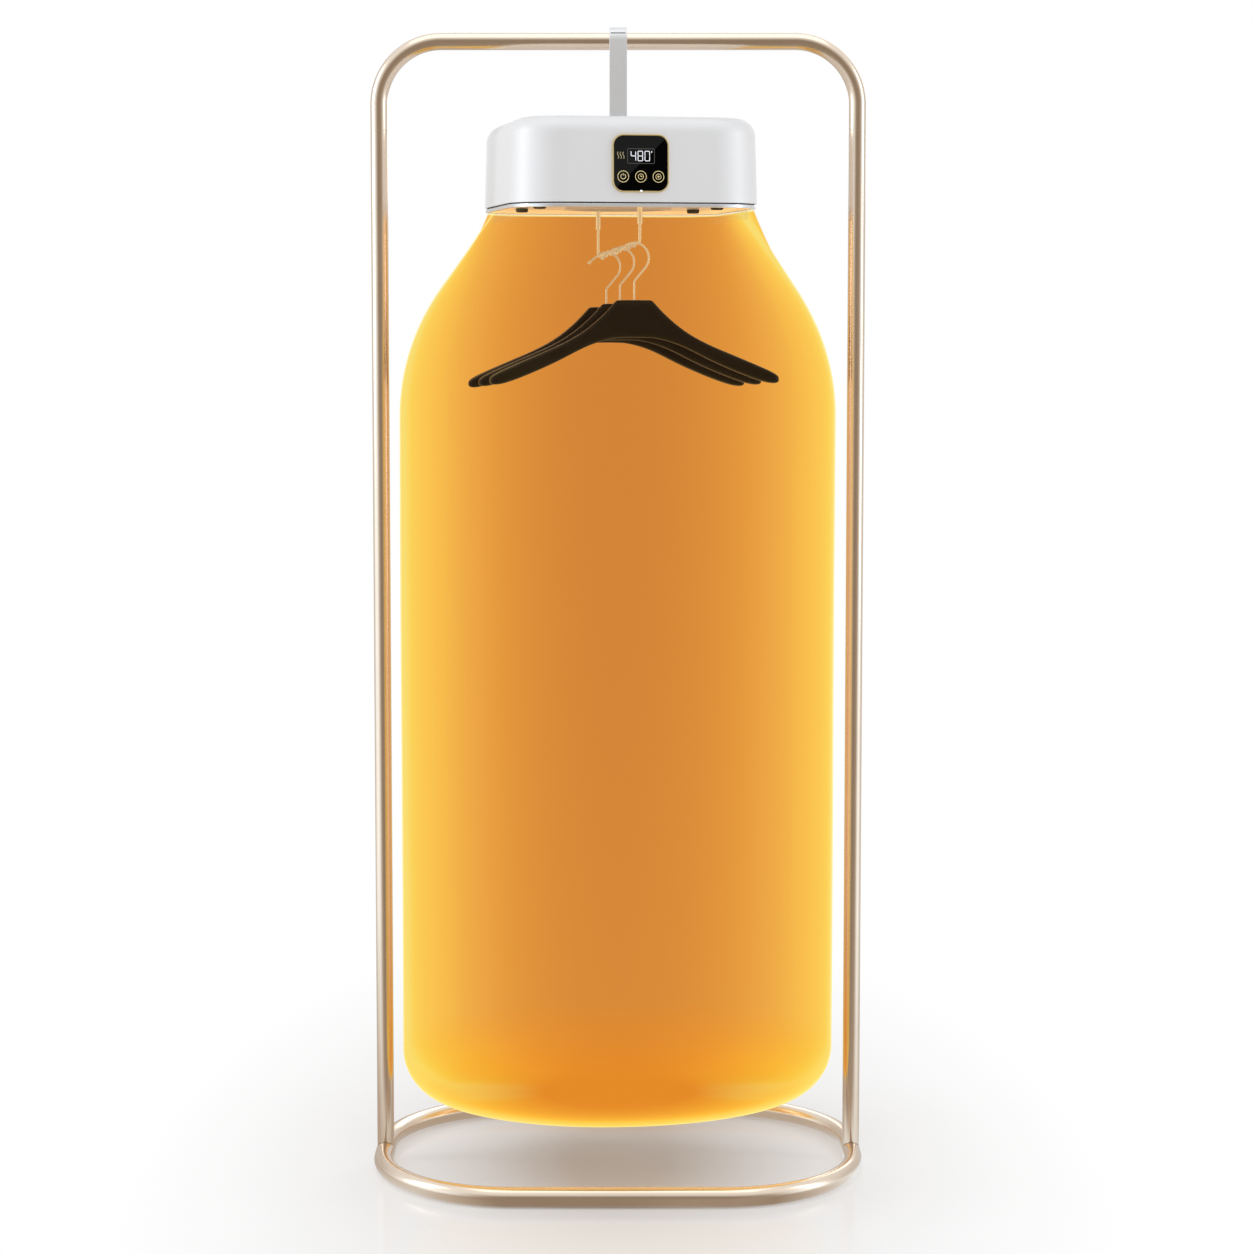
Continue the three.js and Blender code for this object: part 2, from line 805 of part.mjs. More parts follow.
function makeBottomPlate() {
  const half = head.half - head.wall - trim.tongueWall - 4 * seatGap;
  const slab = squareSlab(half, head.corner - head.wall - trim.tongueWall, plateBottom, plateTop);
  const collar = cut(
    squareSlab(collarHalf, collarCorner, plateBottom - plate.collarDrop, plateBottom + seatGap),
    squareSlab(
      collarHalf - plate.collarWall,
      collarCorner - plate.collarWall,
      plateBottom - plate.collarDrop - overrun,
      plateBottom,
    ),
  );
  const outlet = rod(plate.outletRadius, 4 * plate.thickness, plateBottom - 2 * plate.thickness, roundSides);
  const screwHole = rod(
    caseScrew.shankRadius + seatGap,
    4 * plate.thickness,
    plateBottom - 2 * plate.thickness,
  );
  const screwHoles = footPlaces.map(({ x, y }) => placed(screwHole, { x, y }));
  return cut(join(slab, collar), outlet, ...screwHoles);
}

function makeCaseScrew({ x, y }) {
  const top = plateBottom - seatGap;
  const screw = turned(
    [
      [0, top - caseScrew.headHeight],
      [caseScrew.headRadius, top - caseScrew.headHeight],
      [caseScrew.headRadius, top],
      [caseScrew.shankRadius, top],
      [caseScrew.shankRadius, top + caseScrew.length],
      [0, top + caseScrew.length],
    ],
    boreSides,
  );
  return placed(screw, { x, y });
}

function makeRubberFoot({ x, y }) {
  const top = plateBottom - seatGap;
  const cup = turned(
    [
      [0, trimBottom],
      [foot.radius, trimBottom],
      [foot.radius, top],
      [foot.pocketRadius, top],
      [foot.pocketRadius, trimBottom + foot.floor],
      [0, trimBottom + foot.floor],
    ],
    smallSides,
  );
  return placed(cup, { x, y });
}

// The outlet grille: a disc with two columns of slots that follow its round edge.
function makeGrille() {
  const top = plateBottom - seatGap;
  const low = top - grille.depth;
  const reach = plate.outletRadius - grille.barWidth;
  const pitch = grille.slotWidth + grille.barWidth;
  const rows = Math.floor((2 * reach) / pitch);
  const slots = Array.from({ length: rows }, (_, i) => {
    const y = (i - (rows - 1) / 2) * pitch;
    const outer = Math.sqrt(reach ** 2 - (Math.abs(y) + grille.slotWidth / 2) ** 2);
    const length = outer - grille.barWidth / 2;
    return [-1, 1].map((side) =>
      placed(box(length, grille.slotWidth, 3 * grille.depth), {
        x: (side * (outer + grille.barWidth / 2)) / 2,
        y,
        z: low,
      }),
    );
  }).flat();
  return cut(rod(grille.flangeRadius, grille.depth, low, roundSides), ...slots);
}

function makeSwivelSeat() {
  const base = headTop + seatGap;
  const bore = swivel.boltRadius / Math.cos(Math.PI / smallSides) + seatGap;
  return turned(
    [
      [bore, base],
      [swivel.seatRadius, base],
      [swivel.seatRadius, seatTop - swivel.seatHeight / 3],
      [swivel.seatRadius - swivel.seatHeight / 2, seatTop],
      [bore, seatTop],
    ],
    midSides,
  );
}

function makeIntakeFilter() {
  const cellWidth = (filter.width - filter.bar) / filter.columns;
  const cellHeight = (filter.height - filter.bar) / filter.rows;
  const cells = Array.from({ length: filter.columns * filter.rows }, (_, i) =>
    placed(box(cellWidth - filter.bar, cellHeight - filter.bar, 3 * filter.thickness), {
      x: ((i % filter.columns) - (filter.columns - 1) / 2) * cellWidth,
      y: (Math.floor(i / filter.columns) - (filter.rows - 1) / 2) * cellHeight,
    }),
  );
  const frame = cut(box(filter.width, filter.height, filter.thickness), ...cells);
  return onWall(placed(frame, { z: -head.wall - seatGap - filter.thickness / 2 }), 1, 0, ventMiddle);
}

function buildCasing() {
  add(headGroup, 'top_shell', makeTopShell(), whiteShell);
  add(headGroup, 'trim_ring', makeTrimRing(), silverTrim);
  add(headGroup, 'bottom_plate', makeBottomPlate(), greyPlastic);
  add(headGroup, 'outlet_grille', makeGrille(), greyPlastic);
  add(headGroup, 'swivel_seat', makeSwivelSeat(), silverTrim);
  add(headGroup, 'intake_filter', makeIntakeFilter(), darkPlastic);
  footPlaces.forEach((place) => {
    add(headGroup, `case_screw_${place.name}`, makeCaseScrew(place), zinc);
    add(headGroup, `rubber_foot_${place.name}`, makeRubberFoot(place), blackRubber);
  });
}

// Dryer head: fan, heater and electrics
const airBase = plateTop + seatGap;
const fanBase = airBase + heater.frameHeight + fan.aboveHeater;
const shroudTop = airBase + shroud.height;
const bracketBase = shroudTop + seatGap;
const motorFlangeBase = bracketBase + bracket.thickness + seatGap;

function makeShroud() {
  const outer = shroud.innerRadius + shroud.wall;
  return turned([
    [shroud.innerRadius, airBase],
    [shroud.flangeRadius, airBase],
    [shroud.flangeRadius, airBase + shroud.flangeThickness],
    [outer, airBase + shroud.flangeThickness],
    [outer, shroudTop],
    [shroud.innerRadius, shroudTop],
  ]);
}

function makeHeaterFrame() {
  const inner = heater.frameHalf - heater.frameWall;
  const middle = airBase + heater.frameHeight / 2;
  return cut(
    placed(box(2 * heater.frameHalf, 2 * heater.frameHalf, heater.frameHeight), { z: middle }),
    placed(box(2 * inner, 2 * inner, heater.frameHeight), { z: middle + heater.lipHeight }),
    placed(box(2 * (inner - heater.lip), 2 * (inner - heater.lip), 2 * heater.frameHeight), { z: middle }),
  );
}

function makeHeaterCore() {
  const half = heater.frameHalf - heater.frameWall - seatGap;
  const base = airBase + heater.lipHeight + seatGap;
  const channel = (2 * half - heater.finThickness) / heater.fins;
  const channels = Array.from({ length: heater.fins }, (_, i) =>
    [-1, 1].map((side) =>
      placed(box(channel - heater.finThickness, half - 1.5 * heater.endBar, 4 * heater.coreHeight), {
        x: (i + 0.5) * channel - half + heater.finThickness / 2,
        y: (side * (half - heater.endBar / 2)) / 2,
        z: base,
      }),
    ),
  ).flat();
  return cut(
    placed(box(2 * half, 2 * half, heater.coreHeight), { z: base + heater.coreHeight / 2 }),
    ...channels,
  );
}

// One fan blade: a thin section that flattens and thins from root to tip.
function makeBlade(turn) {
  const root = fan.hubRadius - fan.hubWall / 2;
  const rings = Array.from({ length: fan.bladeStations }, (_, i) => {
    const share = i / (fan.bladeStations - 1);
    const radius = THREE.MathUtils.lerp(root, fan.tipRadius, share);
    const height = THREE.MathUtils.lerp(fan.rootHeight, fan.tipHeight, share);
    const low = fanBase + (fan.hubHeight - height) / 2;
    const sweep = deg(fan.bladeSweep);
    const thick = fan.bladeThickness / 2;
    return [
      [-sweep / 2, low - thick],
      [sweep / 2, low + height - thick],
      [sweep / 2, low + height + thick],
      [-sweep / 2, low + thick],
    ].map(
      ([angle, z]) =>
        new THREE.Vector3(radius * Math.cos(turn + angle), radius * Math.sin(turn + angle), z),
    );
  });
  return loft(rings);
}

function makeImpeller() {
  const shaftHole = motor.shaftRadius / Math.cos(Math.PI / smallSides) + seatGap;
  const inside = fan.hubRadius - fan.hubWall;
  const hub = turned(
    [
      [shaftHole, fanBase],
      [inside, fanBase],
      [fan.hubRadius, fanBase + fan.hubWall],
      [fan.hubRadius, fanBase + fan.hubHeight],
      [inside, fanBase + fan.hubHeight],
      [inside, fanBase + 2 * fan.hubWall],
      [shaftHole, fanBase + 2 * fan.hubWall],
    ],
    midSides,
  );
  const blades = Array.from({ length: fan.blades }, (_, i) => makeBlade((i / fan.blades) * 2 * Math.PI));
  return join(hub, ...blades);
}

function makeMotorShaft() {
  const top = motorFlangeBase - motor.belowFlange - seatGap;
  return rod(motor.shaftRadius, top - fanBase, fanBase);
}

function makeFanMotor() {
  const base = motorFlangeBase - motor.belowFlange;
  const flangeTop = motorFlangeBase + motor.flangeThickness;
  const top = base + motor.height;
  return turned(
    [
      [0, base],
      [motor.radius - motor.flangeThickness, base],
      [motor.radius, base + motor.flangeThickness],
      [motor.radius, motorFlangeBase],
      [motor.flangeRadius, motorFlangeBase],
      [motor.flangeRadius, flangeTop],
      [motor.radius, flangeTop],
      [motor.radius, top - motor.flangeThickness],
      [motor.radius - motor.flangeThickness, top],
      [0, top],
    ],
    midSides,
  );
}

function makeMotorBracket() {
  const outer = shroud.innerRadius + shroud.wall;
  const ringOf = (inner, reach) =>
    turned(
      [
        [inner, bracketBase],
        [reach, bracketBase],
        [reach, bracketBase + bracket.thickness],
        [inner, bracketBase + bracket.thickness],
      ],
      midSides,
    );
  const middle = (motor.flangeRadius + outer) / 2;
  const armLength = outer - motor.flangeRadius - bracket.rimWall / 2;
  const arms = Array.from({ length: bracket.arms }, (_, i) => {
    const turn = (i / bracket.arms) * 2 * Math.PI;
    return placed(box(armLength, bracket.armWidth, bracket.thickness), {
      rz: turn,
      x: middle * Math.cos(turn),
      y: middle * Math.sin(turn),
      z: bracketBase + bracket.thickness / 2,
    });
  });
  return join(
    ringOf(outer - bracket.rimWall, outer),
    ringOf(motor.radius + 2 * seatGap, motor.flangeRadius + bracket.rimWall),
    ...arms,
  );
}

function makeThermalCutout() {
  const reach = shroud.innerRadius + shroud.wall + seatGap;
  return placed(box(cutout.depth, cutout.width, cutout.height), {
    x: -reach - cutout.depth / 2,
    z: airBase + shroud.flangeThickness + seatGap + cutout.height / 2,
  });
}

function makePowerBoard() {
  const top = airBase + board.standoff + board.thickness;
  const slab = placed(box(board.width, board.length, board.thickness), { z: top - board.thickness / 2 });
  const corners = [-1, 1].flatMap((sx) =>
    [-1, 1].map((sy) =>
      placed(rod(board.standoffRadius, board.standoff + board.thickness / 2, airBase), {
        x: sx * (board.width / 2 - board.standoffRadius),
        y: sy * (board.length / 2 - board.standoffRadius),
      }),
    ),
  );
  const transformer = placed(box(board.width / 2, board.length / 5, board.width / 2), {
    y: -board.length / 4,
    z: top + board.width / 4 - weld,
  });
  const relay = placed(box(board.width / 3, board.length / 6, board.width / 3), {
    x: board.width / 5,
    y: board.length / 8,
    z: top + board.width / 6 - weld,
  });
  const capacitor = placed(rod(board.width / 8, board.width / 2, top - board.thickness / 2), {
    x: -board.width / 4,
    y: board.length / 4,
  });
  const x = shroud.flangeRadius + board.besideShroud + board.width / 2;
  return placed(join(slab, ...corners, transformer, relay, capacitor), { x });
}

// The mains inlet: a recess with cut top corners, two pole blades and an earth blade.
function recessShape() {
  const x = inlet.recessHalfWidth;
  const y = inlet.recessHalfHeight;
  const chamfer = inlet.recessChamfer;
  return new THREE.Shape([
    new THREE.Vector2(-x, -y),
    new THREE.Vector2(x, -y),
    new THREE.Vector2(x, y - chamfer),
    new THREE.Vector2(x - chamfer, y),
    new THREE.Vector2(chamfer - x, y),
    new THREE.Vector2(-x, y - chamfer),
  ]);
}

function makePowerInlet() {
  const face = seatGap + inlet.flangeThickness;
  const floor = face - inlet.recessDepth;
  const body = placed(box(2 * inlet.bodyHalfWidth, 2 * inlet.bodyHalfHeight, inlet.bodyDepth), {
    z: face - inlet.bodyDepth / 2 - weld,
  });
  const flangeShape = roundedRectangle(inlet.flangeHalfWidth, inlet.flangeHalfHeight, inlet.flangeCorner);
  const flange = placed(extruded(flangeShape, inlet.flangeThickness), { z: seatGap });
  const recess = placed(extruded(recessShape(), inlet.recessDepth + overrun), { z: floor });
  const blades = [
    [-inlet.poleOffset, 0],
    [inlet.poleOffset, 0],
    [0, -inlet.earthDrop],
  ].map(([x, y]) =>
    placed(box(inlet.bladeThickness, inlet.bladeWidth, inlet.bladeLength), {
      x,
      y,
      z: floor + inlet.bladeLength / 2 - weld,
    }),
  );
  return onWall(join(cut(join(body, flange), recess), ...blades), 1, inletX, inletMiddle);
}

function buildWorks() {
  add(headGroup, 'fan_shroud', makeShroud(), darkPlastic);
  add(headGroup, 'heater_frame', makeHeaterFrame(), copperBrown);
  add(headGroup, 'heater_core', makeHeaterCore(), finAluminium);
  add(headGroup, 'fan_impeller', makeImpeller(), darkPlastic);
  add(headGroup, 'motor_shaft', makeMotorShaft(), brightSteel);
  add(headGroup, 'fan_motor', makeFanMotor(), zinc);
  add(headGroup, 'motor_bracket', makeMotorBracket(), zinc);
  add(headGroup, 'thermal_cutout', makeThermalCutout(), darkPlastic);
  add(headGroup, 'power_board', makePowerBoard(), boardGreen);
  add(headGroup, 'power_inlet', makePowerInlet(), darkPlastic);
}

// Touch panel: drawn with +Z as its outward side, then set on the drafted front wall.
const onFront = (geometry) => onWall(geometry, -1, panel.x, panelMiddle);

function makePanelBezel() {
  const shape = roundedRectangle(panel.half, panel.half, panel.corner);
  const inner = panel.half - panel.bezelWidth;
  const opening = roundedRectangle(inner, inner, panel.corner - panel.bezelWidth);
  return onFront(
    cut(
      placed(extruded(shape, panel.bezelHeight), { z: seatGap }),
      placed(extruded(opening, 2 * overrun), { z: -overrun }),
    ),
  );
}

function makePanelGlass() {
  const half = panel.half - panel.bezelWidth - seatGap;
  const shape = roundedRectangle(half, half, panel.corner - panel.bezelWidth - seatGap);
  return onFront(placed(extruded(shape, panel.glassHeight), { z: seatGap }));
}

function makePanelTub() {
  const inner = panel.tubHalf - panel.tubWall;
  return onFront(
    cut(
      placed(extruded(roundedRectangle(panel.tubHalf, panel.tubHalf, head.wall), panel.tubDepth), {
        z: -panel.tubDepth,
      }),
      placed(box(2 * inner, 2 * inner, panel.tubDepth), { z: panel.tubWall - panel.tubDepth / 2 }),
    ),
  );
}

function makeDisplayModule() {
  return onFront(
    placed(box(2 * panel.displayHalfWidth, 2 * panel.displayHalfHeight, panel.displayDepth), {
      y: panel.displayHalfHeight,
      z: -panel.displayDepth / 2,
    }),
  );
}

function makeControlBoard() {
  const back = -panel.tubDepth - seatGap - board.thickness;
  return onFront(
    placed(box(2 * panel.boardHalf, 2 * panel.boardHalf, board.thickness), { z: back + board.thickness / 2 }),
  );
}

function buildPanel() {
  add(headGroup, 'panel_bezel', makePanelBezel(), goldTrim);
  add(headGroup, 'panel_glass', makePanelGlass(), blackGlass);
  add(headGroup, 'panel_tub', makePanelTub(), darkPlastic);
  add(headGroup, 'display_module', makeDisplayModule(), blackGlass);
  add(headGroup, 'control_board', makeControlBoard(), boardGreen);
}

// Hanging rail: a wire that drops from two sockets and runs in shallow waves between them.
const railSlope = rail.slopeDrop / (2 * railHalf);
const railMiddle = (y) => railHeight - y * railSlope;
const waveStart = hangerPlaces[0].y;
const railBend = 3 * rail.wireRadius;

// A wave has a flat trough and a flat crest, so a hook sits square in a trough.
const waveReach = rail.waveHeight * Math.cos(Math.PI / rail.waveSteps);

function railWaves() {
  const step = wavePitch / rail.waveSteps;
  const limit = railHalf - railBend - rail.endStraight;
  const first = Math.ceil((-limit - waveStart) / step - 0.5);
  const last = Math.floor((limit - waveStart) / step - 0.5);
  return Array.from({ length: last - first + 1 }, (_, i) => {
    const turns = (first + i + 0.5) / rail.waveSteps;
    const y = waveStart + turns * wavePitch;
    return new THREE.Vector3(0, y, railMiddle(y) - rail.waveHeight * Math.cos(2 * Math.PI * turns));
  });
}

function railLine() {
  const legTop = plateBottom - seatGap - rail.socketDrop + rail.legInsert;
  const reach = railHalf - railBend;
  const corner = (side) =>
    [0, 0.5, 1].map((share) => {
      const angle = (share * Math.PI) / 2;
      return new THREE.Vector3(
        0,
        side * (reach + railBend * Math.sin(angle)),
        railMiddle(side * reach) + railBend * (1 - Math.cos(angle)),
      );
    });
  return [
    new THREE.Vector3(0, -railHalf, legTop),
    ...corner(-1).reverse(),
    ...railWaves(),
    ...corner(1),
    new THREE.Vector3(0, railHalf, legTop),
  ];
}

function makeRailSocket(side) {
  const base = plateBottom - seatGap - rail.socketDrop;
  const bore = rail.wireRadius / Math.cos(Math.PI / wireSides) + seatGap;
  return placed(
    turned(
      [
        [0, plateBottom - seatGap],
        [rail.socketRadius, plateBottom - seatGap],
        [rail.socketRadius, base],
        [bore, base],
        [bore, base + rail.legInsert + seatGap],
        [0, base + rail.legInsert + seatGap],
      ],
      smallSides,
    ),
    { y: side * railHalf },
  );
}

function buildRail() {
  add(headGroup, 'hanging_rail', planarTube(railLine(), alongX, rail.wireRadius, wireSides), champagne);
  add(headGroup, 'front_rail_socket', makeRailSocket(-1), champagne);
  add(headGroup, 'rear_rail_socket', makeRailSocket(1), champagne);
}

// Clothes hangers: a wire hook and a broad moulded shoulder piece, drawn with its top face at z = 0.
const tangentAngle = Math.acos(hanger.loopRadius / (hanger.loopHeight - hanger.stemHeight));

function hookTip() {
  const angle = deg(hanger.loopEnd);
  return new THREE.Vector2(0, hanger.loopHeight)
    .add(new THREE.Vector2(Math.cos(angle), Math.sin(angle)).multiplyScalar(hanger.loopRadius))
    .add(new THREE.Vector2(-Math.sin(angle), Math.cos(angle)).multiplyScalar(hanger.tipLength));
}

function hookLine() {
  const path = new THREE.Path();
  path.moveTo(0, -hanger.stemInsert);
  path.lineTo(0, hanger.stemHeight);
  const start = tangentAngle - Math.PI / 2;
  path.absarc(0, hanger.loopHeight, hanger.loopRadius, start, deg(hanger.loopEnd), false);
  path.lineTo(hookTip().x, hookTip().y);
  return withoutRepeats(path.getPoints(hanger.loopSteps).map((p) => new THREE.Vector3(p.x, 0, p.y)));
}

function makeHangerHook() {
  const ball = placed(new THREE.IcosahedronGeometry(hanger.tipRadius, 1), { x: hookTip().x, z: hookTip().y });
  return join(planarTube(hookLine(), alongY, hanger.wireRadius, wireSides), ball);
}

// Stations along one shoulder, as shares of the half width: [reach, top drop, bottom drop].
const shoulderShares = [
  [0, 0, 0.256],
  [0.116, 0, 0.26],
  [0.2, 0.1, 0.273],
  [0.34, 0.212, 0.315],
  [0.5, 0.3, 0.402],
  [0.68, 0.372, 0.482],
  [0.86, 0.448, 0.552],
  [0.96, 0.492, 0.574],
  [1, 0.524, 0.56],
];

function makeHangerBody() {
  const sides = hanger.sectionSides;
  const station = (side, [reach, top, bottom]) => {
    const x = side * reach * hanger.halfWidth;
    const middle = (-(top + bottom) / 2) * hanger.halfWidth;
    const tall = ((bottom - top) / 2) * hanger.halfWidth;
    const thick = THREE.MathUtils.lerp(hanger.centreThickness, hanger.endThickness, reach * reach) / 2;
    const drawn = reach === 1 ? hanger.endShare : 1;
    return Array.from({ length: sides }, (_, s) => {
      const angle = ((s + 0.5) / sides) * 2 * Math.PI;
      const across = Math.sign(Math.cos(angle)) * Math.abs(Math.cos(angle)) ** hanger.squareness;
      const rise = Math.sign(Math.sin(angle)) * Math.abs(Math.sin(angle)) ** hanger.squareness;
      return new THREE.Vector3(
        x,
        drawn * thick * across - hanger.forwardBow * reach * reach,
        middle + tall * rise,
      );
    });
  };
  const left = shoulderShares.slice(1).reverse().map((row) => station(-1, row));
  const right = shoulderShares.map((row) => station(1, row));
  const body = loft([...left, ...right]);
  const bore = hanger.wireRadius / Math.cos(Math.PI / wireSides) + seatGap;
  return cut(body, rod(bore, 2 * overrun, -hanger.stemInsert - seatGap));
}

function buildHangers() {
  const hookInnerTop = hanger.loopHeight + hanger.loopRadius - hanger.wireRadius;
  hangerPlaces.forEach(({ name, y }) => {
    const group = new THREE.Group();
    const wireTop = railMiddle(y) - waveReach + rail.wireRadius;
    group.position.set(0, y, wireTop + hangGap - hookInnerTop);
    headGroup.add(group);
    add(group, `${name}_hanger_hook`, makeHangerHook(), champagne);
    add(group, `${name}_hanger_body`, makeHangerBody(), hangerBlack);
  });
}

// Cover bag: a film that blends from the head's rounded square to an oval, with a hem round the collar.
const bagTop = trimBottom - runGap / 2;

// The distance from the centre to a rounded square's edge in a given direction.
function squareReach(half, corner, angle) {
  const c = Math.abs(Math.cos(angle));
  const s = Math.abs(Math.sin(angle));
  const flat = half - corner;
  if (half * s <= flat * c) return half / c;
  if (half * c <= flat * s) return half / s;
  const along = flat * (c + s);
  return along + Math.sqrt(along * along - 2 * flat * flat + corner * corner);
}

// Profile of the bag's side as [reach, height]: neck, sloped shoulder, side, rounded foot.
function bagProfile() {
  const slopeAngle = Math.atan(bag.shoulderSlope);
  const cornerHeight = bagTop - (bag.halfWidth - neckReach) / bag.shoulderSlope;
  const sideTop = cornerHeight - bag.shoulderRadius * Math.tan(slopeAngle / 2);
  const profile = [[neckReach, bagTop]];
  for (let i = bag.shoulderSteps; i >= 0; i--) {
    const angle = (i / bag.shoulderSteps) * slopeAngle;
    profile.push([
      bag.halfWidth - bag.shoulderRadius * (1 - Math.cos(angle)),
      sideTop + bag.shoulderRadius * Math.sin(angle),
    ]);
  }
  profile.push([bag.halfWidth, (sideTop + bag.bottom) / 2]);
  for (let i = 0; i <= bag.bottomSteps; i++) {
    const angle = (i / bag.bottomSteps) * (Math.PI / 2);
    profile.push([
      bag.halfWidth - bag.bottomRadius * (1 - Math.cos(angle)),
      bag.bottom + bag.bottomRadius * (1 - Math.sin(angle)),
    ]);
  }
  return profile;
}

// One level of the bag, drawn in by an inset. Above the side it blends from the neck's plan to the oval.
function bagRing(reach, height, inset) {
  const above = height > bag.bottom + bag.bottomRadius;
  const blend = above ? (reach - neckReach) / (bag.halfWidth - neckReach) : 1;
  const drawn = inset + (above ? 0 : bag.halfWidth - reach);
  const turn = deg(bag.yaw - head.yaw);
  return Array.from({ length: bag.sides }, (_, i) => {
    const angle = (i / bag.sides) * 2 * Math.PI;
    const neck = squareReach(neckHalf - inset, neckCorner - inset, angle);
    const a = bag.halfWidth - drawn;
    const b = bag.halfDepth - drawn;
    const oval = (a * b) / Math.hypot(b * Math.cos(angle - turn), a * Math.sin(angle - turn));
    const radius = THREE.MathUtils.lerp(neck, oval, blend);
    return new THREE.Vector3(radius * Math.cos(angle), radius * Math.sin(angle), height);
  });
}

function makeCoverBag() {
  const hemBottom = bagTop - bag.hemHeight;
  const [top, ...side] = bagProfile();
  const below = [[neckReach + bag.hemHeight * bag.shoulderSlope, hemBottom], ...side];
  const outer = loft([top, ...below].map(([reach, height]) => bagRing(reach, height, 0)));
  const inside = below.map(([reach, height]) => bagRing(reach, height, bag.film));
  inside[inside.length - 1].forEach((p) => {
    p.z += bag.film;
  });
  const inner = loft(inside);
  const neckHole = loft(
    [hemBottom - overrun, bagTop + overrun].map((z) =>
      roundedSquare(collarHalf + runGap - seatGap, collarCorner, z),
    ),
  );
  return cut(outer, inner, neckHole);
}

buildStand();
buildHook();
buildCasing();
buildWorks();
buildPanel();
buildRail();
buildHangers();
add(headGroup, 'cover_bag', makeCoverBag(), warmFilm);

export default whole;
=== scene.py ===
"""Looks of a portable clothes dryer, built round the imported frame.

An arched tube stand carries a white fan heater head on a strap hook. A wavy rail under the head
holds three hangers, and a glowing amber cover bag closes round them. Lengths are metres, +Z is up
and the front faces -Y.
"""

from __future__ import annotations

import json
import logging
import math
from dataclasses import dataclass
from enum import Enum
from typing import Callable, Sequence

import bmesh
import bpy
from mathutils import Matrix, Vector

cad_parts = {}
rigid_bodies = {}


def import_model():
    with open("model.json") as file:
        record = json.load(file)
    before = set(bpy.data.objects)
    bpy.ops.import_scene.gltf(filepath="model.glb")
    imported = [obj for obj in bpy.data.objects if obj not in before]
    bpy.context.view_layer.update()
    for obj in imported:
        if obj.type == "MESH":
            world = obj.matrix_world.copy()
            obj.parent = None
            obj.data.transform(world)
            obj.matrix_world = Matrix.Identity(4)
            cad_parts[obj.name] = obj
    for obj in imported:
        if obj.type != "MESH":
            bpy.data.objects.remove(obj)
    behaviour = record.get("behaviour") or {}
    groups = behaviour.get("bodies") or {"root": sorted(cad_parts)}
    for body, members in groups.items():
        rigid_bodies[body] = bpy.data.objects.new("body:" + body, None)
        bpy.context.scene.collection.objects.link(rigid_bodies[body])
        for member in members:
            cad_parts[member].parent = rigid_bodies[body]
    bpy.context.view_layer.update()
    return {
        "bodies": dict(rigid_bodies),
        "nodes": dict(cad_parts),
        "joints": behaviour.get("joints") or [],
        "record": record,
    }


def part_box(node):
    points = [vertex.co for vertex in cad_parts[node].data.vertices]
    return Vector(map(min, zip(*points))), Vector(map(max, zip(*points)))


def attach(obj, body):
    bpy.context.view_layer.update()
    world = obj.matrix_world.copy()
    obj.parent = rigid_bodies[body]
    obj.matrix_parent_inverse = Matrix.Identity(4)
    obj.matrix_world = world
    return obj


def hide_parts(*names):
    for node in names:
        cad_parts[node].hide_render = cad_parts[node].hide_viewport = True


log = logging.getLogger("dryer")

Colour = tuple[float, float, float]
Point = tuple[float, float, float]
Flat = tuple[float, float]
Stops = tuple[tuple[float, Colour], ...]

BENCH_DOUBLES = 0.00002
UNIT: Point = (1.0, 1.0, 1.0)
BLACK: Colour = (0.0, 0.0, 0.0)
WHITE: Colour = (1.0, 1.0, 1.0)

# Angles in degrees: up to which faces look like one smooth face, and past which an edge is rounded.
TUBE_ANGLE = 60.0
SOFT_ANGLE = 50.0
TURNED_ANGLE = 40.0
EDGE_ANGLE = 60.0


def opaque(colour: Colour) -> tuple[float, float, float, float]:
    """A colour with full alpha, as sockets want it."""
    return (*colour, 1.0)


def arc(centre: Flat, radius: float, start: float, end: float, steps: int) -> list[Flat]:
    """Points of a circular arc in a plane.

    Args:
        centre: The arc's centre.
        radius: Its radius.
        start: The first angle in degrees.
        end: The last angle in degrees.
        steps: How many spans it has.

    Returns:
        The points, both ends among them.
    """
    points = []
    for i in range(steps + 1):
        angle = math.radians(start + (end - start) * i / steps)
        points.append((centre[0] + radius * math.cos(angle), centre[1] + radius * math.sin(angle)))
    return points


# ---- Shader maths -----------------------------------------


class Signal:
    """A shader socket on which Python's operators add Math nodes."""

    def __init__(self, graph: Graph, socket: bpy.types.NodeSocket) -> None:
        """Wraps a socket of a graph."""
        self.graph = graph
        self.socket = socket

    def math(self, operation: str, first: Signal | float, second: Signal | float = 0.0) -> Signal:
        """The result of a Math node on two numbers or sockets."""
        return self.graph.read(0, "ShaderNodeMath", {"operation": operation}, {0: first, 1: second})

    def __add__(self, other: Signal | float) -> Signal:
        """self + other."""
        return self.math("ADD", self, other)

    __radd__ = __add__

    def __sub__(self, other: Signal | float) -> Signal:
        """self - other."""
        return self.math("SUBTRACT", self, other)

    def __rsub__(self, other: Signal | float) -> Signal:
        """other - self."""
        return self.math("SUBTRACT", other, self)

    def __mul__(self, other: Signal | float) -> Signal:
        """self * other."""
        return self.math("MULTIPLY", self, other)

    __rmul__ = __mul__

    def __pow__(self, other: Signal | float) -> Signal:
        """self ** other."""
        return self.math("POWER", self, other)


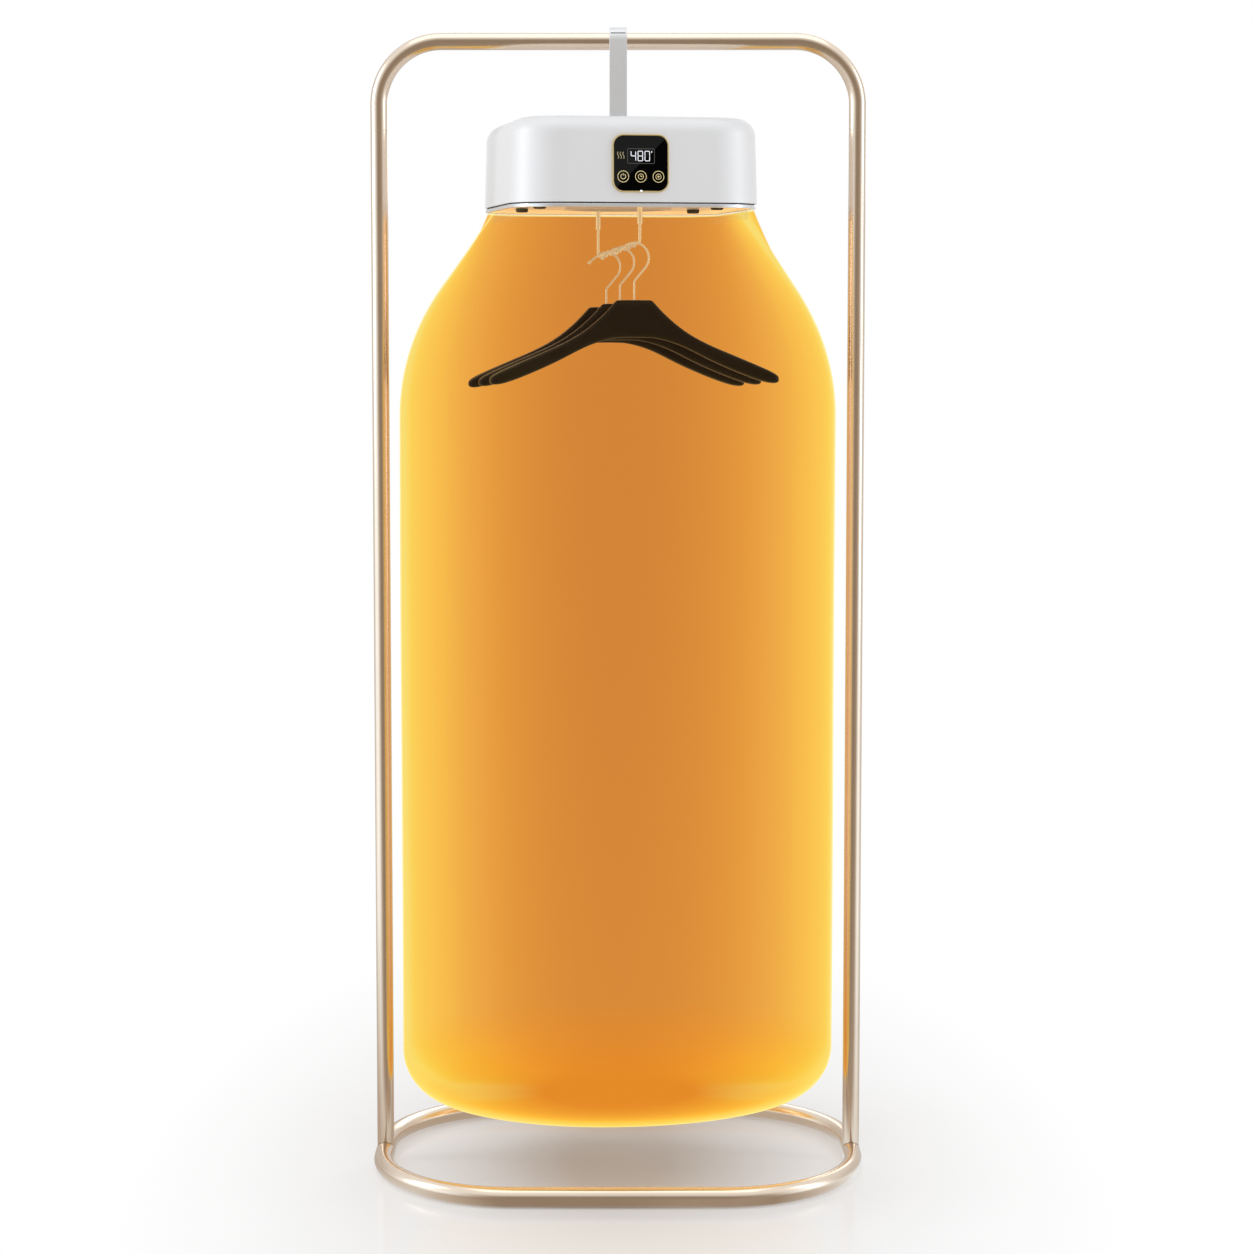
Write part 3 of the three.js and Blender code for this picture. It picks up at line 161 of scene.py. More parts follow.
class Graph:
    """The node tree of one new material or world."""

    def __init__(
        self, owner: bpy.types.Material | bpy.types.World, end: str = "ShaderNodeOutputMaterial"
    ) -> None:
        """Empties the owner's tree and adds its output.

        Args:
            owner: What the tree belongs to.
            end: The output node's type.
        """
        owner.use_nodes = True
        self.tree = owner.node_tree
        self.tree.nodes.clear()
        self.end = self.node(end)

    def node(
        self,
        kind: str,
        settings: dict[str, object] | None = None,
        inputs: dict[str | int, object] | None = None,
    ) -> bpy.types.Node:
        """Adds a node.

        Args:
            kind: The node's type.
            settings: Its settings, set first. "stops" are a ramp's (place, colour) pairs.
            inputs: Values or signals by socket name or number.

        Returns:
            The node.
        """
        node = self.tree.nodes.new(kind)
        for key, value in (settings or {}).items():
            if key == "stops":
                self.set_stops(node.color_ramp, value)
            else:
                setattr(node, key, value)
        for key, value in (inputs or {}).items():
            if isinstance(value, Signal):
                self.tree.links.new(value.socket, node.inputs[key])
            else:
                node.inputs[key].default_value = value
        return node

    @staticmethod
    def set_stops(ramp: bpy.types.ColorRamp, stops: Stops) -> None:
        """Gives a ramp its stops.

        Args:
            ramp: The ramp of a new node.
            stops: Its (place, colour) pairs.
        """
        while len(ramp.elements) > 1:
            ramp.elements.remove(ramp.elements[-1])
        ramp.elements[0].position = stops[0][0]
        ramp.elements[0].color = opaque(stops[0][1])
        for place, colour in stops[1:]:
            ramp.elements.new(place).color = opaque(colour)

    def read(
        self,
        output: str | int,
        kind: str,
        settings: dict[str, object] | None = None,
        inputs: dict[str | int, object] | None = None,
    ) -> Signal:
        """Adds a node and gives one of its outputs."""
        return self.out(self.node(kind, settings, inputs), output)

    def out(self, node: bpy.types.Node, output: str | int) -> Signal:
        """One output of a node as a signal."""
        return Signal(self, node.outputs[output])

    def place(self, stretch: Point = UNIT) -> Signal:
        """Object coordinates, stretched along each axis."""
        coords = self.read("Object", "ShaderNodeTexCoord")
        return self.read(0, "ShaderNodeMapping", None, {"Vector": coords, "Scale": stretch})

    def axis(self, letter: str) -> Signal:
        """One of the object coordinates, in metres."""
        coords = self.read("Object", "ShaderNodeTexCoord")
        return self.read(letter, "ShaderNodeSeparateXYZ", None, {"Vector": coords})

    def length(self, vector: Signal) -> Signal:
        """How long a vector is."""
        return self.read("Value", "ShaderNodeVectorMath", {"operation": "LENGTH"}, {0: vector})

    def ray(self, kind: str) -> Signal:
        """1 for the rays of a kind, such as Is Glossy Ray, else 0."""
        return self.read(kind, "ShaderNodeLightPath")

    def noise(self, scale: float, detail: float = 2.0, stretch: Point = UNIT) -> Signal:
        """Smooth noise from 0 to 1 in object space.

        Args:
            scale: How fine it is.
            detail: How many finer layers it has.
            stretch: How it is squeezed along each axis.

        Returns:
            The noise.
        """
        layers = {"Scale": scale, "Detail": detail, "Roughness": 0.55}
        inputs = {"Vector": self.place(stretch), **layers}
        return self.read("Fac", "ShaderNodeTexNoise", {"noise_dimensions": "3D"}, inputs)

    def spread(
        self, value: Signal, low: float, high: float, start: float = 0.3, end: float = 0.7
    ) -> Signal:
        """Lays a part of a signal's range out anew, and holds it there.

        Args:
            value: The signal.
            low: What comes out at start.
            high: What comes out at end.
            start: Where the part starts.
            end: Where it ends.

        Returns:
            The new signal.
        """
        inputs = {"Value": value, "From Min": start, "From Max": end, "To Min": low, "To Max": high}
        return self.read(0, "ShaderNodeMapRange", {"clamp": True}, inputs)

    def ramp(self, value: Signal, stops: Stops) -> Signal:
        """A colour ramp along a signal."""
        return self.read(0, "ShaderNodeValToRGB", {"stops": stops}, {"Fac": value})

    def mix(self, share: Signal | float, first: Signal | Colour, second: Signal | Colour) -> Signal:
        """A mix of two colours.

        Args:
            share: 0 for the first, 1 for the second.
            first: A colour.
            second: Another colour.

        Returns:
            The mixed colour.
        """
        values = [v if isinstance(v, Signal) else opaque(v) for v in (first, second)]
        inputs = {0: share, 6: values[0], 7: values[1]}
        return self.read(2, "ShaderNodeMix", {"data_type": "RGBA"}, inputs)

    def bump(self, height: Signal, depth: float) -> Signal:
        """A normal from a height signal, with depth in metres."""
        return self.read(0, "ShaderNodeBump", None, {"Height": height, "Distance": depth})

    def facing(self) -> Signal:
        """0 where the surface faces the eye, 1 at its silhouette, for sheen and gloss."""
        return self.read("Facing", "ShaderNodeLayerWeight", None, {"Blend": 0.5})

    def shader(self, inputs: dict[str | int, object]) -> Signal:
        """A Principled shader."""
        return self.read(0, "ShaderNodeBsdfPrincipled", None, inputs)

    def clear(self, tint: Colour) -> Signal:
        """A shader that lets light through with a tint."""
        return self.read(0, "ShaderNodeBsdfTransparent", None, {"Color": opaque(tint)})

    def flat(self, kind: str, colour: Signal | Colour, strength: float = 1.0) -> Signal:
        """An Emission or Background shader of one colour."""
        value = colour if isinstance(colour, Signal) else opaque(colour)
        return self.read(0, kind, None, {"Color": value, "Strength": strength})

    def blend(self, share: Signal | float, first: Signal, second: Signal) -> Signal:
        """A mix of two shaders."""
        return self.read(0, "ShaderNodeMixShader", None, {0: share, 1: first, 2: second})

    def azimuth(self, direction: Signal) -> Signal:
        """Which way a direction points on the floor.

        Args:
            direction: The direction.

        Returns:
            0 and 1 behind, 0.25 to the left, 0.5 in front and 0.75 to the right.
        """
        split = self.node("ShaderNodeSeparateXYZ", None, {"Vector": direction})
        across, ahead = self.out(split, "X"), 0.0 - self.out(split, "Y")
        return across.math("ARCTAN2", across, ahead) * (0.5 / math.pi) + 0.5

    def close(self, shader: Signal) -> None:
        """Links the last shader to the output."""
        self.tree.links.new(shader.socket, self.end.inputs["Surface"])


# ---- Finishes ---------------------------------------------


@dataclass(frozen=True)
class Finish:
    """A named finish. Its material is made once and then reused."""

    name: str

    def build(self, graph: Graph) -> Signal:
        """Adds the nodes and gives the surface shader."""
        raise NotImplementedError

    def material(self) -> bpy.types.Material:
        """Makes the finish's material, or finds it.

        Returns:
            The material.
        """
        found = bpy.data.materials.get(self.name)
        if found:
            return found
        made = bpy.data.materials.new(self.name)
        graph = Graph(made)
        graph.close(self.build(graph))
        return made


@dataclass(frozen=True)
class SatinMetal(Finish):
    """Plated, painted or brushed metal with fine drawn lines.

    Attributes:
        colour: What a white light comes back as.
        worn: The colour where the finish is a little thinner.
        roughness: The middle roughness.
        lines: Scale of the drawn lines.
        stretch: How the lines are squeezed along each axis.
        depth: Depth of the lines in metres.
        coat: Weight of a clear lacquer.
        lacquer: Roughness of that lacquer.
        cloud: Scale of the worn places.
        drawn: Shares of the roughness between which the lines stir it.
    """

    colour: Colour = (0.8, 0.8, 0.8)
    worn: Colour = (0.7, 0.7, 0.7)
    roughness: float = 0.25
    lines: float = 900.0
    stretch: Point = (1.0, 1.0, 0.02)
    depth: float = 0.00001
    coat: float = 0.0
    lacquer: float = 0.12
    cloud: float = 9.0
    drawn: Flat = (0.85, 1.2)

    def build(self, graph: Graph) -> Signal:
        """Metal whose lines stir its roughness and whose plating varies softly.

        Args:
            graph: The material's nodes.

        Returns:
            The surface shader.
        """
        lines = graph.noise(self.lines, 3.0, self.stretch)
        cloud = graph.noise(self.cloud, 3.0)
        low, high = (self.roughness * share for share in self.drawn)
        return graph.shader({
            "Base Color": graph.mix(graph.spread(cloud, 0.0, 1.0), self.colour, self.worn),
            "Metallic": 1.0,
            "Roughness": graph.spread(lines, low, high),
            "Coat Weight": self.coat,
            "Coat Roughness": self.lacquer,
            "Normal": graph.bump(lines, self.depth),
        })


@dataclass(frozen=True)
class Moulding(Finish):
    """Moulded plastic or rubber, or wire and strip with a smooth coat.

    Attributes:
        colour: The plastic's colour.
        shade: The colour in its faint mottle.
        roughness: The middle roughness.
        grain: Scale of the mould's grain.
        depth: Depth of the grain in metres.
        coat: Weight of the gloss over it.
        metallic: Share of metal flake in it.
        shine: Its specular level.
        polish: Roughness of the gloss over it.
        painted_glow: How strongly it glows with painted light, standing in for the bag's warm light
            falling on it.
        mottle: Scale of the mottle.
        stirred: Shares of the roughness between which the grain stirs it.
    """

    colour: Colour = (0.8, 0.8, 0.8)
    shade: Colour = (0.75, 0.75, 0.75)
    roughness: float = 0.4
    grain: float = 900.0
    depth: float = 0.0
    coat: float = 0.0
    metallic: float = 0.0
    shine: float = 0.5
    polish: float = 0.06
    painted_glow: float = 0.0
    mottle: float = 26.0
    stirred: Flat = (0.9, 1.1)

    def build(self, graph: Graph) -> Signal:
        """Plastic with a fine mould grain and a faint mottle.

        Args:
            graph: The material's nodes.

        Returns:
            The surface shader.
        """
        grain = graph.noise(self.grain)
        mottle = graph.noise(self.mottle, 4.0)
        colour = graph.mix(graph.spread(mottle, 0.0, 1.0), self.colour, self.shade)
        low, high = (self.roughness * share for share in self.stirred)
        inputs = {
            "Base Color": colour,
            "Metallic": self.metallic,
            "Specular IOR Level": self.shine,
            "Roughness": graph.spread(grain, low, high),
            "Coat Weight": self.coat,
            "Coat Roughness": self.polish,
        }
        if self.depth > 0.0:
            inputs["Normal"] = graph.bump(grain, self.depth)
        # The emission is painted light: the bag's warm light falling on the piece.
        if self.painted_glow > 0.0:
            inputs.update({"Emission Color": colour, "Emission Strength": self.painted_glow})
        return graph.shader(inputs)


@dataclass(frozen=True)
class PanelGlass(Finish):
    """Polished black glass with the faint orange-peel of a printed back.

    Attributes:
        slant_at: A point of the slanting edge of a painted reflection, as (across, up).
        soft: Half the width of that edge.
        below: The glass's colour below the edge.
        above: Its colour above it, lighter: a painted reflection.
        rough: Roughness between which the peel stirs it.
    """

    slant_at: Flat = (0.0295, 1.387)
    soft: float = 0.0006
    below: Colour = (0.0008, 0.0008, 0.0009)
    above: Colour = (0.014, 0.014, 0.014)
    rough: Flat = (0.03, 0.06)

    def build(self, graph: Graph) -> Signal:
        """Black glass with a painted reflection: lighter above a slanting edge.

        Args:
            graph: The material's nodes.

        Returns:
            The surface shader.
        """
        peel = graph.noise(60.0)
        # The lighter glass above the slanting edge is a painted reflection.
        across, up = graph.axis("X") - self.slant_at[0], graph.axis("Z") - self.slant_at[1]
        painted_reflection = graph.spread(up - across, 0.0, 1.0, -self.soft, self.soft)
        return graph.shader({
            "Base Color": graph.mix(painted_reflection, self.below, self.above),
            "Roughness": graph.spread(peel, *self.rough),
            "Specular IOR Level": 0.04,
            "Normal": graph.bump(peel, 0.000004),
        })


@dataclass(frozen=True)
class Lit(Finish):
    """A lit or printed mark.

    Attributes:
        colour: The mark's colour.
        strength: How strongly it shines of itself.
        dim: Share of the colour at its dimmest.
    """

    colour: Colour = WHITE
    strength: float = 1.0
    dim: float = 0.86

    def build(self, graph: Graph) -> Signal:
        """A mark that is a touch brighter in its middle grain.

        Args:
            graph: The material's nodes.

        Returns:
            The surface shader.
        """
        dim = tuple(self.dim * c for c in self.colour)
        lit = graph.mix(graph.noise(700.0, 1.0), dim, self.colour)
        return graph.shader({
            "Base Color": lit,
            "Roughness": 0.35,
            "Emission Color": lit,
            "Emission Strength": self.strength,
        })


@dataclass(frozen=True)
class CircuitBoard(Finish):
    """Green lacquered board with copper tracks under it.

    Attributes:
        fields: The two greens between the tracks.
        track: The colour of the tracks.
    """

    fields: tuple[Colour, Colour] = ((0.02, 0.12, 0.06), (0.03, 0.17, 0.08))
    track: Colour = (0.12, 0.24, 0.09)

    def build(self, graph: Graph) -> Signal:
        """Board with square-cornered tracks.

        Args:
            graph: The material's nodes.

        Returns:
            The surface shader.
        """
        inputs = {
            "Vector": graph.place(),
            "Color1": opaque(self.fields[0]),
            "Color2": opaque(self.fields[1]),
            "Mortar": opaque(self.track),
            "Scale": 90.0,
            "Mortar Size": 0.03,
        }
        tracks = graph.read("Color", "ShaderNodeTexBrick", {"offset": 0.37}, inputs)
        return graph.shader({"Base Color": tracks, "Roughness": 0.35, "Coat Weight": 0.3})


@dataclass(frozen=True)
class BagFilm(Finish):
    """What both sides of the bag's film share.

    Attributes:
        half: Half the bag's width and depth.
        shadow: What the film lets through, for lamps and soft light.
        foot: Heights between which the wall curls into the floor.
        weave: Scale of the film's weave.
    """

    half: Flat = (0.302, 0.23)
    shadow: Colour = (0.75, 0.67, 0.575)
    foot: Flat = (0.115, 0.165)
    weave: float = 2600.0

    def side_on(self, graph: Graph) -> Signal:
        """How far the bag's upright wall is turned from the eye, whatever its gathers do.

        Args:
            graph: The material's nodes.

        Returns:
            0 where the wall would face the eye, 1 at the bag's left and right edge.
        """
        outwards = graph.place((1 / self.half[0] ** 2, 1 / self.half[1] ** 2, 0.0))
        straight = graph.read(0, "ShaderNodeVectorMath", {"operation": "NORMALIZE"}, {0: outwards})
        turned = graph.read(
            0,
            "ShaderNodeVectorTransform",
            {"vector_type": "NORMAL", "convert_from": "OBJECT", "convert_to": "WORLD"},
            {"Vector": straight},
        )
        inputs = {"Blend": 0.5, "Normal": turned}
        return graph.read("Facing", "ShaderNodeLayerWeight", None, inputs)

    def low_down(self, graph: Graph) -> Signal:
        """0 on the wall, 1 where it has curled in under the bag."""
        return graph.spread(graph.axis("Z"), 1.0, 0.0, *self.foot)

    @staticmethod
    def soft_rays(graph: Graph) -> Signal:
        """1 for the rays that carry shadows and soft light, else 0."""
        path = graph.node("ShaderNodeLightPath")
        return graph.out(path, "Is Shadow Ray") + graph.out(path, "Is Diffuse Ray")

    def seen(
        self, graph: Graph, share: Signal, mirrored: float, tint: Colour, film: Signal
    ) -> Signal:
        """The film over what lies behind it.

        Args:
            graph: The material's nodes.
            share: How much of the film shows.
            mirrored: How much of that shows in polished things.
            tint: What passes through the film on its way to the eye.
            film: The film's own shader.

        Returns:
            The surface shader.
        """
        soft = self.soft_rays(graph)
        behind = graph.blend(soft, graph.clear(tint), graph.clear(self.shadow))
        solid = 1.0 - graph.ray("Is Glossy Ray") * (1.0 - mirrored)
        return graph.blend(share * (1.0 - soft) * solid, behind, film)


@dataclass(frozen=True)
class BagSkin(BagFilm):
    """The outer skin of the bag: clear film whose edge shines.

    Attributes:
        tint: What passes through it.
        stops: The painted sheen, an emission, from just inside the silhouette to the silhouette.
        clear_share: How much of the sheen shows where the film faces the eye.
        edge_power: How closely the sheen keeps to the silhouette.
        curl_glow: Facings between which the sheen closes over the curl at the bottom.
        mirrored: How strong the sheen looks in polished things.
    """

    tint: Colour = (0.985, 0.965, 0.92)
    stops: Stops = (
        (0.0, (0.9, 0.36, 0.03)), (0.5, (0.99, 0.52, 0.038)), (0.64, (0.98, 0.63, 0.075)),
        (0.78, (0.98, 0.72, 0.13)), (0.93, (0.96, 0.81, 0.22)),
    )
    clear_share: float = 0.004
    edge_power: float = 9.0
    curl_glow: Flat = (0.16, 0.58)
    mirrored: float = 0.5

    def build(self, graph: Graph) -> Signal:
        """Clear film whose painted sheen brightens at its silhouette.

        Args:
            graph: The material's nodes.

        Returns:
            The surface shader.
        """
        weave = graph.noise(self.weave, 1.0)
        folds = graph.noise(7.0, 2.0, (1.0, 1.0, 0.35))
        facing = graph.facing()
        film = graph.shader({
            "Base Color": graph.mix(weave, (0.1, 0.05, 0.012), (0.12, 0.06, 0.015)),
            "Roughness": graph.spread(folds, 0.36, 0.44),
            "Specular IOR Level": 0.03,
            # The sheen is painted: an emission that brightens towards the silhouette.
            "Emission Color": graph.ramp(facing, self.stops),
            "Emission Strength": 0.97,
            "Normal": graph.bump(folds, 0.001),
        })
        low = self.low_down(graph)
        wall = self.side_on(graph) ** self.edge_power * (1.0 - low)
        edge = wall + graph.spread(facing, 0.0, 1.0, *self.curl_glow) * low
        return self.seen(graph, edge + self.clear_share, self.mirrored, self.tint, film)


@dataclass(frozen=True)
class BagLining(BagFilm):
    """The coat on the inside of the film. It glows amber towards the inside with painted light and
    is clear outwards.

    Attributes:
        stops: The painted amber glow of the wall, from where it faces the eye to its silhouette.
        low_stops: The same near the bag's floor.
        floor: The painted amber glow of the floor's middle.
        floor_reach: Shares of the bag's width between which the floor takes over.
        warm: Heights between which the glow turns warmer.
        mirrored: How solid its glow looks in polished things.
        cord_glow: Colour of the elastic cord in the neck, painted as a bright glowing line.
        cord_glow_height: The cord's height.
        cord_glow_half: Half the cord's width.
        out_tint: What it lets through when seen from behind.
    """

    stops: Stops = (
        (0.0, (0.65, 0.24, 0.044)), (0.08, (0.755, 0.305, 0.05)), (0.183, (0.85, 0.395, 0.067)),
        (0.323, (0.935, 0.51, 0.082)), (0.44, (0.97, 0.575, 0.09)), (0.67, (0.985, 0.67, 0.112)),
        (0.82, (0.96, 0.76, 0.19)),
    )
    low_stops: Stops = (
        (0.0, (0.73, 0.24, 0.027)), (0.1, (0.865, 0.32, 0.028)), (0.18, (0.94, 0.4, 0.03)),
        (0.33, (0.98, 0.485, 0.032)), (0.47, (0.99, 0.55, 0.044)), (0.6, (0.985, 0.65, 0.068)),
        (0.72, (0.975, 0.76, 0.14)),
    )
    floor: Colour = (0.79, 0.265, 0.0235)
    floor_reach: Flat = (0.35, 0.9)
    warm: Flat = (0.085, 0.175)
    mirrored: float = 0.68
    cord_glow: Colour = (1.0, 0.84, 0.3)
    cord_glow_height: float = 1.3284
    cord_glow_half: float = 0.0011
    out_tint: Colour = (0.99, 0.98, 0.95)

    def material(self) -> bpy.types.Material:
        """Makes the finish's material, which shows one side only, or finds it.

        Returns:
            The material.
        """
        made = super().material()
        made.use_backface_culling = True
        return made

    def painted_glow(self, graph: Graph) -> Signal:
        """The painted amber glow of the wall and the floor, and the cord in the neck painted as a
        bright glowing line.

        Args:
            graph: The material's nodes.

        Returns:
            The colour.
        """
        height = graph.axis("Z")
        facing = self.side_on(graph)
        wall, warm = graph.ramp(facing, self.stops), graph.ramp(facing, self.low_stops)
        around = graph.mix(graph.spread(height, 1.0, 0.0, *self.warm), wall, warm)
        reach = graph.length(graph.place((1 / self.half[0], 1 / self.half[1], 0.0)))
        inner = graph.spread(reach, 1.0, 0.0, *self.floor_reach) * self.low_down(graph)
        # The cord in the neck is painted as a bright glowing line.
        near = {0: height, 1: self.cord_glow_height, 2: self.cord_glow_half}
        on_cord_glow = graph.read(0, "ShaderNodeMath", {"operation": "COMPARE"}, near)
        return graph.mix(on_cord_glow, graph.mix(inner, around, self.floor), self.cord_glow)

    def build(self, graph: Graph) -> Signal:
        """Amber coat with a painted glow on the side towards the inside.

        Args:
            graph: The material's nodes.

        Returns:
            The surface shader.
        """
        weave = graph.noise(self.weave, 1.0)
        coat = graph.shader({
            "Base Color": graph.mix(weave, (0.03, 0.012, 0.002), (0.04, 0.016, 0.003)),
            "Roughness": 0.6,
            "Specular IOR Level": 0.0,
            # The emission is a painted glow; the bag is no lamp.
            "Emission Color": self.painted_glow(graph),
            "Emission Strength": 1.0,
            "Normal": graph.bump(weave, 0.00002),
        })
        inward = 1.0 - graph.read("Backfacing", "ShaderNodeNewGeometry")
        return self.seen(graph, inward, self.mirrored, self.out_tint, coat)


@dataclass(frozen=True)
class ClearCollar(Finish):
    """Clear moulded plastic with a frosted flange whose painted glow stands in for the bag's warm
    light held in it.

    Attributes:
        flange: Heights between which it turns frosted.
        painted_warmth: The painted warm glow that stands in for the light the flange holds.
        frost: How solid the flange looks.
        gloss: How much gloss the clear wall has, at its silhouette and all over.
        tint: What the clear wall lets through.
    """

    flange: Flat = (1.3302, 1.3308)
    painted_warmth: Colour = (0.8, 0.43, 0.14)
    frost: float = 0.85
    gloss: Flat = (0.12, 0.015)
    tint: Colour = (0.995, 0.99, 0.98)

    def build(self, graph: Graph) -> Signal:
        """Clear plastic that shows gloss and little else below its flange.

        Args:
            graph: The material's nodes.

        Returns:
            The surface shader.
        """
        flow = graph.noise(40.0)
        flange = graph.spread(graph.axis("Z"), 0.0, 1.0, *self.flange)
        gloss = graph.shader({
            "Base Color": graph.mix(flow, (0.95, 0.9, 0.8), (1.0, 0.96, 0.88)),
            "Roughness": 0.08,
            # The flange's emission is a painted glow.
            "Emission Color": graph.mix(flange, BLACK, self.painted_warmth),
            "Emission Strength": 0.7,
            "Normal": graph.bump(flow, 0.00005),
        })
        share = graph.facing() ** 4.0 * self.gloss[0] + self.gloss[1] + flange * self.frost
        lit = 1.0 - graph.ray("Is Shadow Ray")
        return graph.blend(share * lit, graph.clear(self.tint), gloss)


CHAMPAGNE = SatinMetal(
    "champagne_tube_satin", colour=(0.8, 0.65, 0.51), worn=(0.76, 0.61, 0.47), roughness=0.2,
    lines=1200.0, stretch=(1.0, 1.0, 0.03), depth=0.000004, coat=0.5
)
ZINC = SatinMetal(
    "zinc_plated", colour=(0.62, 0.62, 0.64), worn=(0.5, 0.51, 0.54), roughness=0.34, lines=500.0,
    stretch=UNIT, depth=0.00002
)
FIN_ALUMINIUM = SatinMetal(
    "heater_fins_bare", colour=(0.75, 0.75, 0.76), worn=(0.6, 0.58, 0.56), roughness=0.4,
    lines=700.0, stretch=(1.0, 1.0, 0.1), depth=0.00002
)
# Its glow is painted light: the bag's warm light falling on the wires and sockets.
PALE_GOLD = Moulding(
    "pale_gold_wire", colour=(0.95, 0.85, 0.62), shade=(0.93, 0.81, 0.56), roughness=0.26, coat=0.5,
    metallic=0.35, painted_glow=0.17
)
STRAP_STEEL = Moulding(
    "strap_satin_steel", colour=(0.75, 0.75, 0.75), shade=(0.72, 0.72, 0.72), roughness=0.42,
    grain=1600.0, depth=0.000008, metallic=0.35
)
PANEL_GOLD = Moulding(
    "panel_gold", colour=(1.0, 0.78, 0.3), shade=(0.97, 0.74, 0.27), roughness=0.24, coat=0.4,
    metallic=0.25
)
SHELL_WHITE = Moulding(
    "shell_pearl_white", colour=(0.825, 0.825, 0.83), shade=(0.815, 0.815, 0.82), roughness=0.44,
    grain=240.0, metallic=0.15, shine=0.0
)
TRIM_SILVER = Moulding(
    "trim_gloss_silver", colour=(0.8, 0.81, 0.83), shade=(0.76, 0.77, 0.79), roughness=0.2,
    depth=0.000002, coat=0.5, metallic=0.55
)
# Its warm tint and its glow are painted light: the bag's warm light falling on the plate.
PLATE_GREY = Moulding(
    "plate_fine_grey", colour=(0.66, 0.56, 0.45), shade=(0.6, 0.5, 0.39), roughness=0.35,
    grain=1400.0, depth=0.00002, coat=0.4, metallic=0.3, painted_glow=0.2
)
PLASTIC_DARK = Moulding(
    "plastic_matte_black", colour=(0.022, 0.022, 0.023), shade=(0.03, 0.03, 0.031), roughness=0.55,
    grain=1700.0, depth=0.00003
)
RUBBER_BLACK = Moulding(
    "rubber_matte_black", colour=(0.012, 0.012, 0.012), shade=(0.02, 0.02, 0.02), roughness=0.75,
    grain=1300.0, depth=0.00004
)
HEATER_BROWN = Moulding(
    "heater_frame_brown", colour=(0.2, 0.09, 0.04), shade=(0.25, 0.12, 0.06), roughness=0.6,
    depth=0.00004
)
HANGER_BLACK = Moulding(
    "hanger_satin_black", colour=(0.009, 0.01, 0.0115), shade=(0.014, 0.015, 0.016), roughness=0.36,
    grain=1100.0, depth=0.00001, shine=0.22
)
PANEL_GLASS = PanelGlass("panel_black_glass")
BOARD_GREEN = CircuitBoard("board_green_lacquer")
DIGIT_WHITE = Lit("display_white", colour=(0.88, 0.9, 0.96), strength=0.66)
FRAME_DIM = Lit("display_frame_dim", colour=(0.1, 0.098, 0.088), strength=0.15)
KEY_GOLD = Lit("key_print_gold", colour=(0.85, 0.7, 0.33), strength=0.5)
SYMBOL_GOLD = Lit("symbol_print_gold", colour=(0.42, 0.35, 0.19), strength=0.3)
BAG_SKIN = BagSkin("bag_outer_skin")
BAG_LINING = BagLining("bag_amber_lining")
COLLAR_CLEAR = ClearCollar("collar_clear")


# ---- Bench: Blender's tools on one piece ------------------


class Part(Enum):
    """What is picked in edit mode."""

    VERTS = "VERT"
    FACES = "FACE"


class Side(Enum):
    """Left and right, with their direction along X."""

    LEFT = -1
    RIGHT = 1


class End(Enum):
    """Front and rear, with their direction along Y."""

    FRONT = -1
    REAR = 1


class Mark(Enum):
    """What is printed in a touch key's ring, with the side of the panel that it is on."""

    POWER = "left"
    CLOCK = "middle"
    PLUS = "right"


